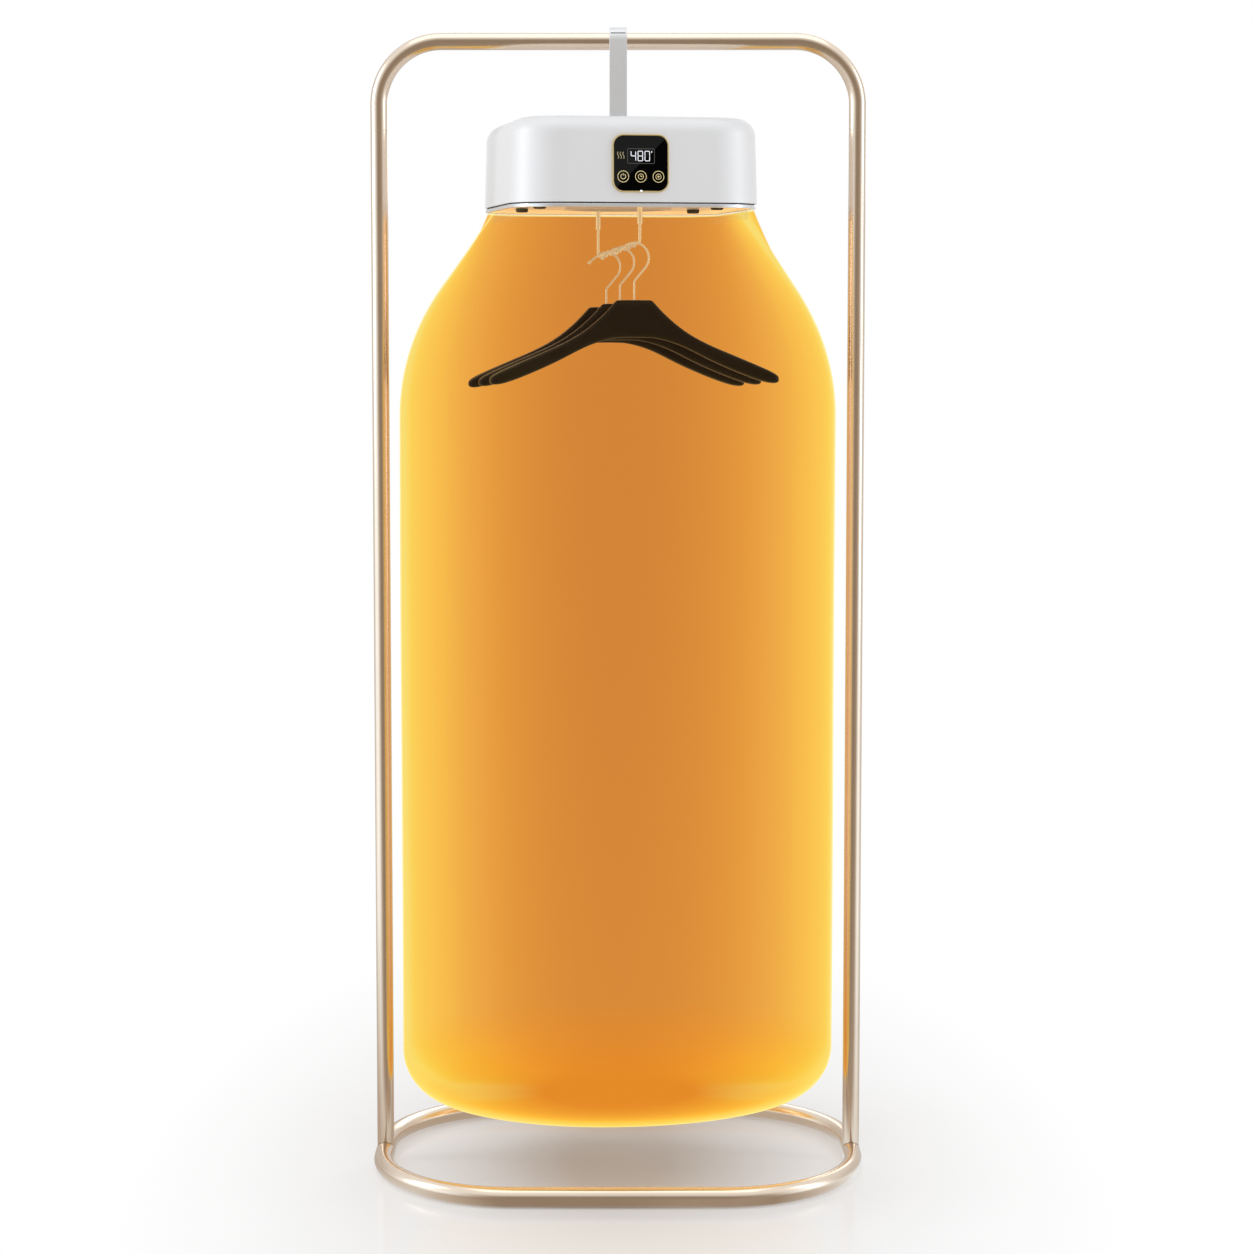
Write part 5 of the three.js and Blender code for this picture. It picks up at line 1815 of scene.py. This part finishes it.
@dataclass
class TouchPanel:
    """The black glass panel on the head's front, with its number, frame, symbol and keys.

    Its pieces are drawn flat, as (across, up) from the panel's middle, with +Z outward.
    """

    head: Head
    half: float = 0.038
    corner: float = 0.015
    foot: float = 0.0002
    bezel_width: float = 0.0018
    bezel_height: float = 0.0029
    bezel_edge: float = 0.0005
    glass_gap: float = 0.0001
    glass_top: float = 0.0025
    glass_edge: float = 0.0004
    print_height: float = 0.00012
    print_sink: float = 0.0002
    print_sides: int = 2

    # The number. Each digit has its lit bars as 1: top, upper right, lower right, bottom, lower
    # left, upper left and middle, whose places follow in halves of the digit's size.
    digits: tuple[str, ...] = ("0110011", "1111111", "1111110")
    bar_places: tuple[tuple[Flat, bool], ...] = (
        ((0.0, 1.0), False), ((1.0, 0.5), True), ((1.0, -0.5), True), ((0.0, -1.0), False),
        ((-1.0, -0.5), True), ((-1.0, 0.5), True), ((0.0, 0.0), False),
    )
    digit_size: Flat = (0.0062, 0.0126)
    digit_pitch: float = 0.0093
    bar: float = 0.0008
    bar_gap: float = 0.0003
    bar_point_share: float = 0.46
    number_at: Flat = (-0.0006, 0.0095)
    minute_length: float = 0.0026
    minute_shares: Flat = (1.64, 0.86)

    # The frame round the number, the symbol beside it and the notch below
    frame_half: Flat = (0.0183, 0.0099)
    frame_shift: Flat = (0.0009, -0.0001)
    frame_corner: float = 0.0018
    frame_width: float = 0.0006
    symbol_at: Flat = (-0.0268, 0.0103)
    wave_pitch: float = 0.0036
    wave_rise: float = 0.0088
    wave_sway: float = 0.0009
    wave_steps: int = 16
    wave_radius: float = 0.00045
    notch_half: Flat = (0.0016, 0.0010)
    notch_at: Flat = (0.0004, 0.0019)
    notch_corner: float = 0.0007
    notch_height: float = 0.0007

    # The keys
    key_y: float = -0.0174
    key_pitch: float = 0.0236
    key_radius: float = 0.0079
    key_inset: float = 0.0006
    key_line: float = 0.0004
    power_radius: float = 0.0033
    power_arc: Flat = (120.0, 420.0)
    power_line: Flat = (0.0012, 0.0042)
    inner_radius: float = 0.0035
    inner_line: float = 0.00033
    hand: float = 0.0018

    def build(self) -> None:
        """Makes and dresses the whole panel."""
        self.make_bezel()
        self.make_glass()
        self.make_number()
        self.make_frame()
        self.make_symbol()
        for i, mark in enumerate(Mark):
            self.make_key((i - 1) * self.key_pitch, mark)
        self.make_notch()

    def settle(self, piece: Piece, finish: Finish, slot: str, node: Sequence[str] = ()) -> None:
        """Sets a flat piece on the head's front wall, and dresses it."""
        piece.place(self.head.on_wall(End.FRONT, *self.head.panel_at))
        piece.smooth().dress("head", finish, slot, node)

    def make_bezel(self) -> None:
        """The thin gold frame."""
        bezel = Piece.slab("panel_bezel_frame", (self.half, self.half), self.foot, self.corner)
        bezel.hollow(self.bezel_width).raise_by(self.bezel_height - self.foot)
        bezel.round_edges(self.bezel_edge)
        self.settle(bezel, PANEL_GOLD, "panel_gold", ["panel_bezel"])

    def make_glass(self) -> None:
        """The black glass, softly rounded at its rim."""
        half = self.half - self.bezel_width - self.glass_gap
        corner = self.corner - self.bezel_width
        glass = Piece.slab("panel_glass_face", (half, half), self.foot, corner)
        glass.raise_by(self.glass_top - self.foot)
        glass.round_edges(self.glass_edge)
        self.settle(glass, PANEL_GLASS, "panel_glass", ["panel_glass"])

    def make_bar(self, length: float, at: Flat, upright: bool) -> Piece:
        """One pointed bar of a digit.

        Args:
            length: Its length.
            at: Its middle.
            upright: True if it stands.

        Returns:
            The bar.
        """
        half = (length / 2, self.bar / 2)
        bar = Piece.slab("bar", half, 0.0, self.bar * self.bar_point_share, 1)
        bar.raise_by(self.print_height)
        turn = Matrix.Rotation(math.pi / 2 if upright else 0.0, 4, "Z")
        return bar.place(Matrix.Translation((*at, self.glass_top)) @ turn)

    def make_number(self) -> None:
        """The lit number and its minute mark."""
        wide, tall = self.digit_size
        w, h = wide / 2, tall / 2
        x, y = self.number_at
        bars: list[Piece] = []
        for i, lit in enumerate(self.digits):
            cx = x + (i - 1) * self.digit_pitch
            for on, ((dx, dy), upright) in zip(lit, self.bar_places):
                if on == "1":
                    length = (h if upright else wide) - self.bar_gap
                    bars.append(self.make_bar(length, (cx + dx * w, y + dy * h), upright))
        across, up = self.minute_shares
        mark = (x + across * self.digit_pitch, y + h * up)
        bars.append(self.make_bar(self.minute_length, mark, True))
        number = bars[0].join(bars[1:], "display_number")
        self.settle(number, DIGIT_WHITE, "panel_glass")

    def make_frame(self) -> None:
        """The dim frame round the number."""
        frame = Piece.slab("display_frame", self.frame_half, 0.0, self.frame_corner, 4)
        frame.hollow(self.frame_width).raise_by(self.print_height)
        x, y = (at + shift for at, shift in zip(self.number_at, self.frame_shift))
        frame.place(Matrix.Translation((x, y, self.glass_top)))
        self.settle(frame, FRAME_DIM, "panel_glass")

    def make_symbol(self) -> None:
        """The small warm-air symbol: three rising waves."""
        waves = []
        for i in (-1, 0, 1):
            points = []
            for step in range(self.wave_steps + 1):
                share = step / self.wave_steps
                up = (share - 0.5) * self.wave_rise
                sway = self.wave_sway * math.sin(share * 2 * math.pi)
                x = self.symbol_at[0] + i * self.wave_pitch + sway
                points.append((x, self.symbol_at[1] + up, self.glass_top))
            waves.append(Piece.tube("wave", points, self.wave_radius, self.print_sides))
        symbol = waves[0].join(waves[1:], "display_symbol")
        self.settle(symbol, SYMBOL_GOLD, "panel_gold")

    def make_key(self, x: float, mark: Mark) -> None:
        """A touch key: a gold ring with a mark in it.

        Args:
            x: The key's place across the panel.
            mark: What is printed in it.
        """
        y = self.key_y
        ring = self.circle((x, y), self.key_radius - self.key_inset, self.key_line)
        if mark is Mark.POWER:
            low, high = self.power_line
            curve = arc((x, y), self.power_radius, *self.power_arc, 24)
            marks = [self.line(curve), self.line([(x, y + low), (x, y + high)])]
        else:
            back = self.hand if mark is Mark.PLUS else 0.0
            marks = [
                self.circle((x, y), self.inner_radius, self.inner_line),
                self.line([(x, y - back), (x, y + self.hand)]),
                self.line([(x - back, y), (x + self.hand, y)]),
            ]
        key = ring.join(marks, f"touch_key_{mark.value}")
        self.settle(key, KEY_GOLD, "panel_gold")

    def circle(self, at: Flat, radius: float, thick: float) -> Piece:
        """A printed circle."""
        points = [(px, py, self.glass_top - thick * 0.5) for px, py in arc(at, radius, 0, 360, 48)]
        return Piece.tube("circle", points[:-1], thick, self.print_sides, closed=True)

    def line(self, run: Sequence[Flat]) -> Piece:
        """A printed line."""
        points = [(px, py, self.glass_top - self.print_sink) for px, py in run]
        return Piece.tube("line", points, self.key_line, self.print_sides)

    def make_notch(self) -> None:
        """The small white light in the panel's lower edge."""
        low = self.glass_top - self.print_sink
        notch = Piece.slab("panel_notch_light", self.notch_half, low, self.notch_corner, 4)
        notch.raise_by(self.notch_height)
        notch.place(Matrix.Translation((self.notch_at[0], -self.half + self.notch_at[1], 0.0)))
        self.settle(notch, DIGIT_WHITE, "panel_glass")


# ---- Rail and hangers -------------------------------------


@dataclass
class Rail:
    """The wavy hanging rail and its two sockets."""

    head: Head
    wire_radius: float = 0.002
    wire_sides: int = 4
    half_length: float = 0.15
    height: float = 1.277
    slope_drop: float = 0.014
    wave_height: float = 0.0034
    wave_share: float = 0.8
    wave_pitch: float = 0.1 / 3
    wave_start: float = -0.112
    wave_steps: int = 160
    wave_ease: float = 0.008
    end_straight: float = 0.012
    bend: float = 0.00675
    bend_steps: int = 8
    leg_top: float = 1.3323
    socket_gap: float = 0.0003
    socket_drop: float = 0.027
    socket_radius: float = 0.0029
    socket_sides: int = 28
    flange_radii: Flat = (0.0072, 0.0075)

    def middle(self, y: float) -> float:
        """The wire's mean height at a depth."""
        return self.height - y * self.slope_drop / (2 * self.half_length)

    def build(self) -> None:
        """Makes and dresses the rail."""
        self.make_wire()
        for end in End:
            self.make_socket(end)

    def corner(self, end: End) -> list[Point]:
        """The bend between a leg and the run.

        Args:
            end: The leg's end of the rail.

        Returns:
            Its points, from the run to the leg.
        """
        reach = self.half_length - self.bend
        found = []
        for i in range(self.bend_steps + 1):
            angle = math.pi / 2 * i / self.bend_steps
            y = end.value * (reach + self.bend * math.sin(angle))
            up = self.bend * (1 - math.cos(angle))
            found.append((0.0, y, self.middle(end.value * reach) + up))
        return found

    def make_wire(self) -> None:
        """The wire: down a leg, along in waves, and up the other leg."""
        limit = self.half_length - self.bend - self.end_straight
        run = []
        for i in range(self.wave_steps + 1):
            y = -limit + 2 * limit * i / self.wave_steps
            turns = (y - self.wave_start) / self.wave_pitch
            ease = min(1.0, (limit - abs(y)) / self.wave_ease)
            wave = math.cos(2 * math.pi * turns)
            drop = self.wave_height * self.wave_share * wave * ease
            run.append((0.0, y, self.middle(y) - drop))
        front, rear = ((0.0, end.value * self.half_length, self.leg_top) for end in End)
        points = [front, *reversed(self.corner(End.FRONT)), *run, *self.corner(End.REAR), rear]
        wire = Piece.tube("hanging_rail_wire", points, self.wire_radius, self.wire_sides)
        wire.place(self.head.turn).smooth(TUBE_ANGLE)
        wire.dress("head", PALE_GOLD, "rail_wire", ["hanging_rail"])

    def make_socket(self, end: End) -> None:
        """A sleeve with a small flange that holds a leg of the wire.

        Args:
            end: The leg's end of the rail.
        """
        name = end.name.lower()
        top = self.head.plate_bottom - self.socket_gap
        low = top - self.socket_drop
        bore, (rim, edge) = self.socket_radius, self.flange_radii
        profile = [
            (0.0, top), (rim, top), (edge, top - 0.0006), (rim, top - 0.0016),
            (bore + 0.0011, top - 0.0022), (bore + 0.0004, top - 0.005),
            (bore + 0.0004, low + 0.001), (bore, low), (0.0, low),
        ]
        socket = Piece.turned(f"{name}_rail_sleeve", profile, self.socket_sides)
        out = Matrix.Translation((0.0, end.value * self.half_length, 0.0))
        socket.place(self.head.turn @ out).smooth(TURNED_ANGLE)
        socket.dress("head", PALE_GOLD, "rail_wire", [f"{name}_rail_socket"])


@dataclass
class Hangers:
    """Three clothes hangers: a wire hook and a moulded shoulder piece each."""

    head: Head
    names: tuple[str, ...] = ("front", "middle", "rear")
    first: float = -0.112
    pitch: float = 0.1
    wire_radius: float = 0.0015
    wire_sides: int = 4
    solid_wire: float = 0.0019
    rail_gap: float = 0.0001
    loop_radius: float = 0.02
    loop_height: float = 0.056
    loop_steps: int = 40
    stem_height: float = 0.026
    stem_insert: float = 0.012
    # The stem's last two points as (across, below the stem's top)
    stem_ease: tuple[Flat, ...] = ((0.0, 0.004), (0.0006, 0.0005))
    loop_end: float = 130.0
    tip_length: float = 0.015
    ball_radius: float = 0.0024
    half_width: float = 0.198
    bow: float = 0.008
    centre_thick: float = 0.016
    end_thick: float = 0.026
    end_share: float = 0.55
    squareness: float = 0.55
    section_sides: int = 16
    # Along one shoulder, as shares of the half width: reach, the top's drop, the underside's drop
    shoulder: tuple[Point, ...] = (
        (0.0, 0.0, 0.256), (0.108, 0.0, 0.259), (0.121, 0.003, 0.26), (0.134, 0.014, 0.261),
        (0.205, 0.095, 0.273), (0.34, 0.212, 0.315), (0.5, 0.3, 0.402), (0.68, 0.372, 0.482),
        (0.86, 0.448, 0.552), (0.96, 0.492, 0.574), (1.0, 0.524, 0.56),
    )

    def build(self) -> None:
        """Makes one hanger, and sets a copy of it at each place."""
        hook, body = self.make_hook(), self.make_body()
        tall = self.loop_height + self.loop_radius + self.solid_wire
        for i, name in enumerate(self.names):
            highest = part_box(f"{name}_hanger_hook")[1]
            y = self.first + i * self.pitch
            top = highest.z - tall - self.rail_gap
            place = self.head.turn @ Matrix.Translation((0.0, y, top))
            rides = f"{name}_hanger"
            wire = hook.copy(f"{name}_hanger_wire").place(place).smooth(TUBE_ANGLE)
            wire.dress(rides, PALE_GOLD, "rail_wire", [f"{name}_hanger_hook"])
            arm = body.copy(f"{name}_hanger_shoulders").place(place).smooth(SOFT_ANGLE)
            arm.dress(rides, HANGER_BLACK, "hanger_black", [f"{name}_hanger_body"])
        for spare in (hook, body):
            bpy.data.objects.remove(spare.obj, do_unlink=True)

    def make_hook(self) -> Piece:
        """The wire hook with a small ball on its tip.

        Returns:
            The hook, with its stem on the Z axis.
        """
        r, up = self.loop_radius, self.loop_height
        tangent = math.degrees(math.acos(r / (up - self.stem_height)))
        line = [(0.0, -self.stem_insert)]
        line += [(x, self.stem_height - below) for x, below in self.stem_ease]
        line += arc((0.0, up), r, tangent - 90, self.loop_end, self.loop_steps)
        angle = math.radians(self.loop_end)
        x, z = line[-1]
        tip = (x - math.sin(angle) * self.tip_length, z + math.cos(angle) * self.tip_length)
        line.append(tip)
        points = [(x, 0.0, z) for x, z in line]
        wire = Piece.tube("hook", points, self.wire_radius, self.wire_sides)
        ball = Piece.turned("ball", arc((0.0, 0.0), self.ball_radius, -90, 90, 12), 20)
        return wire.join([ball.place(Matrix.Translation((tip[0], 0.0, tip[1])))], "hook")

    def make_body(self) -> Piece:
        """The contoured shoulder piece, smoothed along its length.

        Returns:
            The shoulder piece, with the middle of its top at the origin.
        """
        left = [self.section(Side.LEFT, row) for row in reversed(self.shoulder[1:])]
        right = [self.section(Side.RIGHT, row) for row in self.shoulder]
        body = Piece.rolled("shoulders", left + right)
        return body.modify("SUBSURF", levels=2, render_levels=2)

    def section(self, side: Side, row: Point) -> list[Vector]:
        """One cross-section of the shoulder piece.

        Args:
            side: Its shoulder.
            row: Its row of the shoulder's table.

        Returns:
            The section's points.
        """
        reach, top, bottom = row
        middle = -(top + bottom) / 2 * self.half_width
        tall = (bottom - top) / 2 * self.half_width
        thick = (self.centre_thick + (self.end_thick - self.centre_thick) * reach * reach) / 2
        thick *= self.end_share if reach == 1.0 else 1.0
        x = side.value * reach * self.half_width
        ring = []
        for s in range(self.section_sides):
            angle = (s + 0.5) / self.section_sides * 2 * math.pi
            across, rise = (
                math.copysign(abs(f(angle)) ** self.squareness, f(angle))
                for f in (math.cos, math.sin)
            )
            y = thick * across - self.bow * reach * reach
            ring.append(Vector((x, y, middle + tall * rise)))
        return ring


# ---- The cover bag ----------------------------------------


@dataclass
class CoverBag:
    """The amber bag: a loft that hangs from the neck, swells round the hangers and closes."""

    head: Head
    neck_half: float = 0.167
    neck_corner: float = 0.07
    half_width: float = 0.302
    half_depth: float = 0.23
    yaw: float = 5.0
    bottom: float = 0.095
    top: float = 1.3295
    neck_reach: float = 0.182
    slope: float = 0.655
    shoulder_radius: float = 0.33
    bottom_radius: float = 0.07
    film: float = 0.0016
    sides: int = 256

    # Levels of the neck's slope, the shoulder, the side, the foot and the floor
    neck_steps: int = 14
    shoulder_steps: int = 24
    side_steps: int = 24
    foot_steps: int = 16
    floor_steps: int = 12

    # Small gathers under the neck, and slow sags down the side
    gathers: int = 64
    gather_depth: float = 0.00008
    gather_below: float = 0.02
    gather_band: float = 0.015
    sags: int = 5
    sag_depth: float = 0.0005
    sag_start: float = 2.1
    sag_sway: float = 1.7
    sag_turns: float = 4.0
    sag_below: float = 0.25

    def build(self) -> None:
        """Makes and dresses the bag."""
        rings = [self.ring(reach, height) for reach, height in self.profile()]
        rings += self.floor(rings[-1])
        bag = Piece.rolled("cover_bag_film", rings, (False, False))
        bag.place(self.head.turn)
        for finish in (BAG_SKIN, BAG_LINING):
            bag.obj.data.materials.append(finish.material())
        wall = {"thickness": self.film, "offset": -1.0, "use_even_offset": True}
        bag.modify("SOLIDIFY", **wall, material_offset=1)
        bag.smooth(SOFT_ANGLE)
        bag.clear()
        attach(bag.obj, "bag")
        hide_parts("cover_bag")
        log.info("%s: %d faces, rides on bag", bag.obj.name, len(bag.obj.data.polygons))

    def profile(self) -> list[Flat]:
        """The side's outline.

        Returns:
            Its points as (reach, height), from the neck to where the foot's rounding ends.
        """
        angle = math.atan(self.slope)
        corner = self.top - (self.half_width - self.neck_reach) / self.slope
        side_top = corner - self.shoulder_radius * math.tan(angle / 2)
        foot_top = self.bottom + self.bottom_radius

        def rounded(radius: float, turn: float, height: float) -> Flat:
            """A point of a rounding that is upright at a height."""
            drawn = self.half_width - radius * (1 - math.cos(turn))
            return drawn, height + radius * math.sin(turn)

        start = rounded(self.shoulder_radius, angle, side_top)
        reach, fall = start[0] - self.neck_reach, start[1] - self.top
        found = []
        for i in range(self.neck_steps):
            share = i / self.neck_steps
            found.append((self.neck_reach + reach * share, self.top + fall * share))
        for i in range(self.shoulder_steps + 1):
            turn = angle * (1 - i / self.shoulder_steps)
            found.append(rounded(self.shoulder_radius, turn, side_top))
        for i in range(1, self.side_steps):
            height = side_top + (foot_top - side_top) * i / self.side_steps
            found.append((self.half_width, height))
        for i in range(self.foot_steps + 1):
            turn = math.pi / 2 * i / self.foot_steps
            found.append(rounded(self.bottom_radius, -turn, foot_top))
        return found

    def ring(self, reach: float, height: float) -> list[Vector]:
        """One level of the bag, between the neck's rounded square and the oval.

        Args:
            reach: How far it reaches to the side.
            height: Its height.

        Returns:
            Its points.
        """
        above = height > self.bottom + self.bottom_radius
        swell = (reach - self.neck_reach) / (self.half_width - self.neck_reach)
        share = swell if above else 1.0
        drawn = 0.0 if above else self.half_width - reach
        turn = math.radians(self.yaw - self.head.yaw)
        a, b = self.half_width - drawn, self.half_depth - drawn
        found = []
        for i in range(self.sides):
            angle = i / self.sides * 2 * math.pi
            neck = self.square(angle)
            oval = a * b / math.hypot(b * math.cos(angle - turn), a * math.sin(angle - turn))
            radius = neck + (oval - neck) * share - self.gather(angle, height)
            found.append(Vector((radius * math.cos(angle), radius * math.sin(angle), height)))
        return found

    def square(self, angle: float) -> float:
        """How far the neck's rounded square reaches in a direction.

        Args:
            angle: The direction in radians.

        Returns:
            The reach.
        """
        half, corner = self.neck_half, self.neck_corner
        c, s = abs(math.cos(angle)), abs(math.sin(angle))
        flat = half - corner
        if half * s <= flat * c:
            return half / c
        if half * c <= flat * s:
            return half / s
        along = flat * (c + s)
        return along + math.sqrt(max(0.0, along * along - 2 * flat * flat + corner * corner))

    def gather(self, angle: float, height: float) -> float:
        """How far the film is drawn in, by the gathers and the sags.

        Args:
            angle: The direction in radians.
            height: The height.

        Returns:
            How far.
        """
        below = self.top - height
        band = math.exp(-(((below - self.gather_below) / self.gather_band) ** 2))
        gathers = self.gather_depth * band * (1 + math.cos(self.gathers * angle))
        sway = self.sag_sway * math.sin(self.sag_turns * height)
        sags = self.sag_depth * (1 + math.sin(self.sags * angle + self.sag_start + sway))
        return gathers + sags * min(1.0, below / self.sag_below)

    def floor(self, rim: Sequence[Vector]) -> list[list[Vector]]:
        """The bag's bottom, drawn in ring by ring from its rim to its middle."""
        shares = [1 - i / self.floor_steps for i in range(1, self.floor_steps + 1)]
        return [[Vector((p.x * share, p.y * share, self.bottom)) for p in rim] for share in shares]


# ---- Studio -----------------------------------------------


def greys(*pairs: Flat) -> Stops:
    """Ramp stops that are cooler where bright and warmer where dark.

    Args:
        *pairs: Places and their brightness.

    Returns:
        The stops.
    """
    stops = []
    for place, grey in pairs:
        cool = min(0.1, 0.1 - 0.4 * (1.0 - grey))
        stops.append((place, (grey * (1 - cool), grey, grey * (1 + cool))))
    return tuple(stops)


# The room as polished things show it, from behind over the left and the front to the right.
ROOM_STOPS = greys(
    (0.0, 0.56), (0.13, 0.62), (0.19, 0.95), (0.24, 1.4), (0.33, 1.4), (0.37, 1.05), (0.41, 0.6),
    (0.45, 0.3), (0.52, 0.25), (0.56, 0.33), (0.6, 0.36), (0.63, 0.65), (0.665, 1.15), (0.7, 1.45),
    (0.75, 1.25), (0.8, 0.8), (0.86, 0.7),
)

# The floor close to the stand as polished things show it.
NEAR_STOPS = greys(
    (0.0, 0.5), (0.25, 0.5), (0.3, 0.72), (0.337, 0.85), (0.37, 0.55), (0.4, 0.32), (0.45, 0.3),
    (0.5, 0.31), (0.56, 0.37), (0.6, 0.38), (0.625, 0.34), (0.67, 0.75), (0.71, 1.1), (0.75, 0.95),
    (0.8, 0.6), (1.0, 0.5),
)


@dataclass(frozen=True)
class StudioFloor(Finish):
    """Pale floor that keeps the object's shadow and fades to plain white far away.

    Attributes:
        fade: Distances to the side in metres between which it turns plain white.
        deep: Share of the distance that counts towards the eye.
        near: Distances between which polished things see the room's colours on it.
        roughness: The floor's roughness.
        shine: Its specular level.
    """

    fade: Flat = (0.07, 0.68)
    deep: float = 0.45
    near: Flat = (0.6, 2.0)
    roughness: float = 0.16
    shine: float = 0.22

    def build(self, graph: Graph) -> Signal:
        """White satin floor near the object, plain white away from it.

        Args:
            graph: The material's nodes.

        Returns:
            The surface shader.
        """
        speckle = graph.noise(3.0)
        floor = graph.shader({
            "Base Color": graph.mix(speckle, (0.985, 0.985, 0.985), (0.995, 0.995, 0.995)),
            "Roughness": self.roughness,
            "Specular IOR Level": self.shine,
        })
        place = graph.place()
        around = graph.azimuth(place)
        close, far = graph.ramp(around, NEAR_STOPS), graph.ramp(around, ROOM_STOPS)
        card = graph.mix(graph.spread(graph.length(place), 0.0, 1.0, *self.near), close, far)
        stretched = graph.length(graph.place((1.0, self.deep, 1.0)))
        away = graph.spread(stretched, 0.0, 1.0, *self.fade)
        plain, seen = (graph.flat("ShaderNodeEmission", colour) for colour in (WHITE, card))
        return graph.blend(graph.ray("Is Glossy Ray"), graph.blend(away, floor, plain), seen)


@dataclass(frozen=True)
class Lamp:
    """A soft rectangular panel that aims at a point."""

    name: str
    place: Point
    aim: Point
    size: Flat
    power: float

    def build(self) -> None:
        """Adds the lamp."""
        Piece.clear()
        turn = (Vector(self.aim) - Vector(self.place)).to_track_quat("-Z", "Y").to_euler()
        bpy.ops.object.light_add(type="AREA", location=self.place, rotation=turn)
        lamp = bpy.context.active_object
        lamp.name = f"studio_{self.name}"
        lamp.data.shape = "RECTANGLE"
        lamp.data.size, lamp.data.size_y = self.size
        lamp.data.energy = self.power


@dataclass
class Studio:
    """Floor, lights, background and camera."""

    lens: float = 81.12
    sensor: float = 36.0
    distance: float = 3.908
    height: float = 1.2
    pitch: float = 4.59
    shift: Flat = (0.007, -0.075)
    far: float = 100.0
    floor_size: float = 30.0
    ambient: float = 0.655
    air: Colour = (0.985, 0.99, 1.0)
    sky: Colour = (1.0, 1.05, 1.1)
    sky_from: Flat = (0.25, 0.7)
    lamps: tuple[Lamp, ...] = (
        Lamp("key", (-3.3, -0.3, 2.1), (0.0, 0.0, 0.9), (1.3, 2.4), 29.0),
        Lamp("strip", (2.9, -0.5, 1.7), (0.0, 0.0, 1.0), (0.6, 2.6), 12.5),
        Lamp("top", (0.0, -0.4, 3.4), (0.0, 0.0, 0.0), (2.6, 2.0), 12.0),
        Lamp("rear", (0.6, 3.0, 2.2), (0.0, 0.0, 0.9), (2.4, 1.6), 14.0),
    )

    def build(self) -> None:
        """Makes the whole studio."""
        self.make_camera()
        self.make_floor()
        self.make_world()
        for lamp in self.lamps:
            lamp.build()

    def make_camera(self) -> None:
        """The camera at the photograph's angle."""
        Piece.clear()
        place = (0.0, -self.distance, self.height)
        turn = (math.radians(90 - self.pitch), 0.0, 0.0)
        bpy.ops.object.camera_add(location=place, rotation=turn)
        camera = bpy.context.active_object
        camera.name = "studio_camera"
        camera.data.lens = self.lens
        camera.data.sensor_width = self.sensor
        camera.data.sensor_fit = "AUTO"
        camera.data.shift_x, camera.data.shift_y = self.shift
        camera.data.clip_end = self.far
        bpy.context.scene.camera = camera

    def make_floor(self) -> None:
        """The floor plane."""
        half = self.floor_size / 2
        floor = Piece.slab("studio_floor", (half, half), 0.0, 0.0)
        floor.obj.data.materials.append(StudioFloor("studio_floor_white").material())

    def make_world(self) -> None:
        """White to the eye, even grey as a light, and a room of greys in reflections."""
        world = bpy.data.worlds.new("studio_world")
        bpy.context.scene.world = world
        graph = Graph(world, "ShaderNodeOutputWorld")
        direction = graph.read("Generated", "ShaderNodeTexCoord")
        around = graph.ramp(graph.azimuth(direction), ROOM_STOPS)
        height = graph.read("Z", "ShaderNodeSeparateXYZ", None, {"Vector": direction})
        colour = graph.mix(graph.spread(height, 0.0, 1.0, *self.sky_from), around, self.sky)
        room = graph.flat("ShaderNodeBackground", colour)
        even = graph.flat("ShaderNodeBackground", self.air, self.ambient)
        light = graph.blend(graph.ray("Is Glossy Ray"), even, room)
        white = graph.flat("ShaderNodeBackground", WHITE)
        graph.close(graph.blend(graph.ray("Is Camera Ray"), light, white))


def main() -> None:
    """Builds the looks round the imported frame."""
    logging.basicConfig(level=logging.INFO, format="%(name)s %(message)s")
    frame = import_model()
    bpy.context.scene.view_settings.view_transform = "Standard"
    Studio().build()
    Stand().build(frame)
    StrapHook().build(frame)
    head = Head()
    head.build(frame)
    TouchPanel(head).build()
    Rail(head).build()
    Hangers(head).build()
    CoverBag(head).build()
    Piece.clear()


if __name__ == "__main__":
    main()
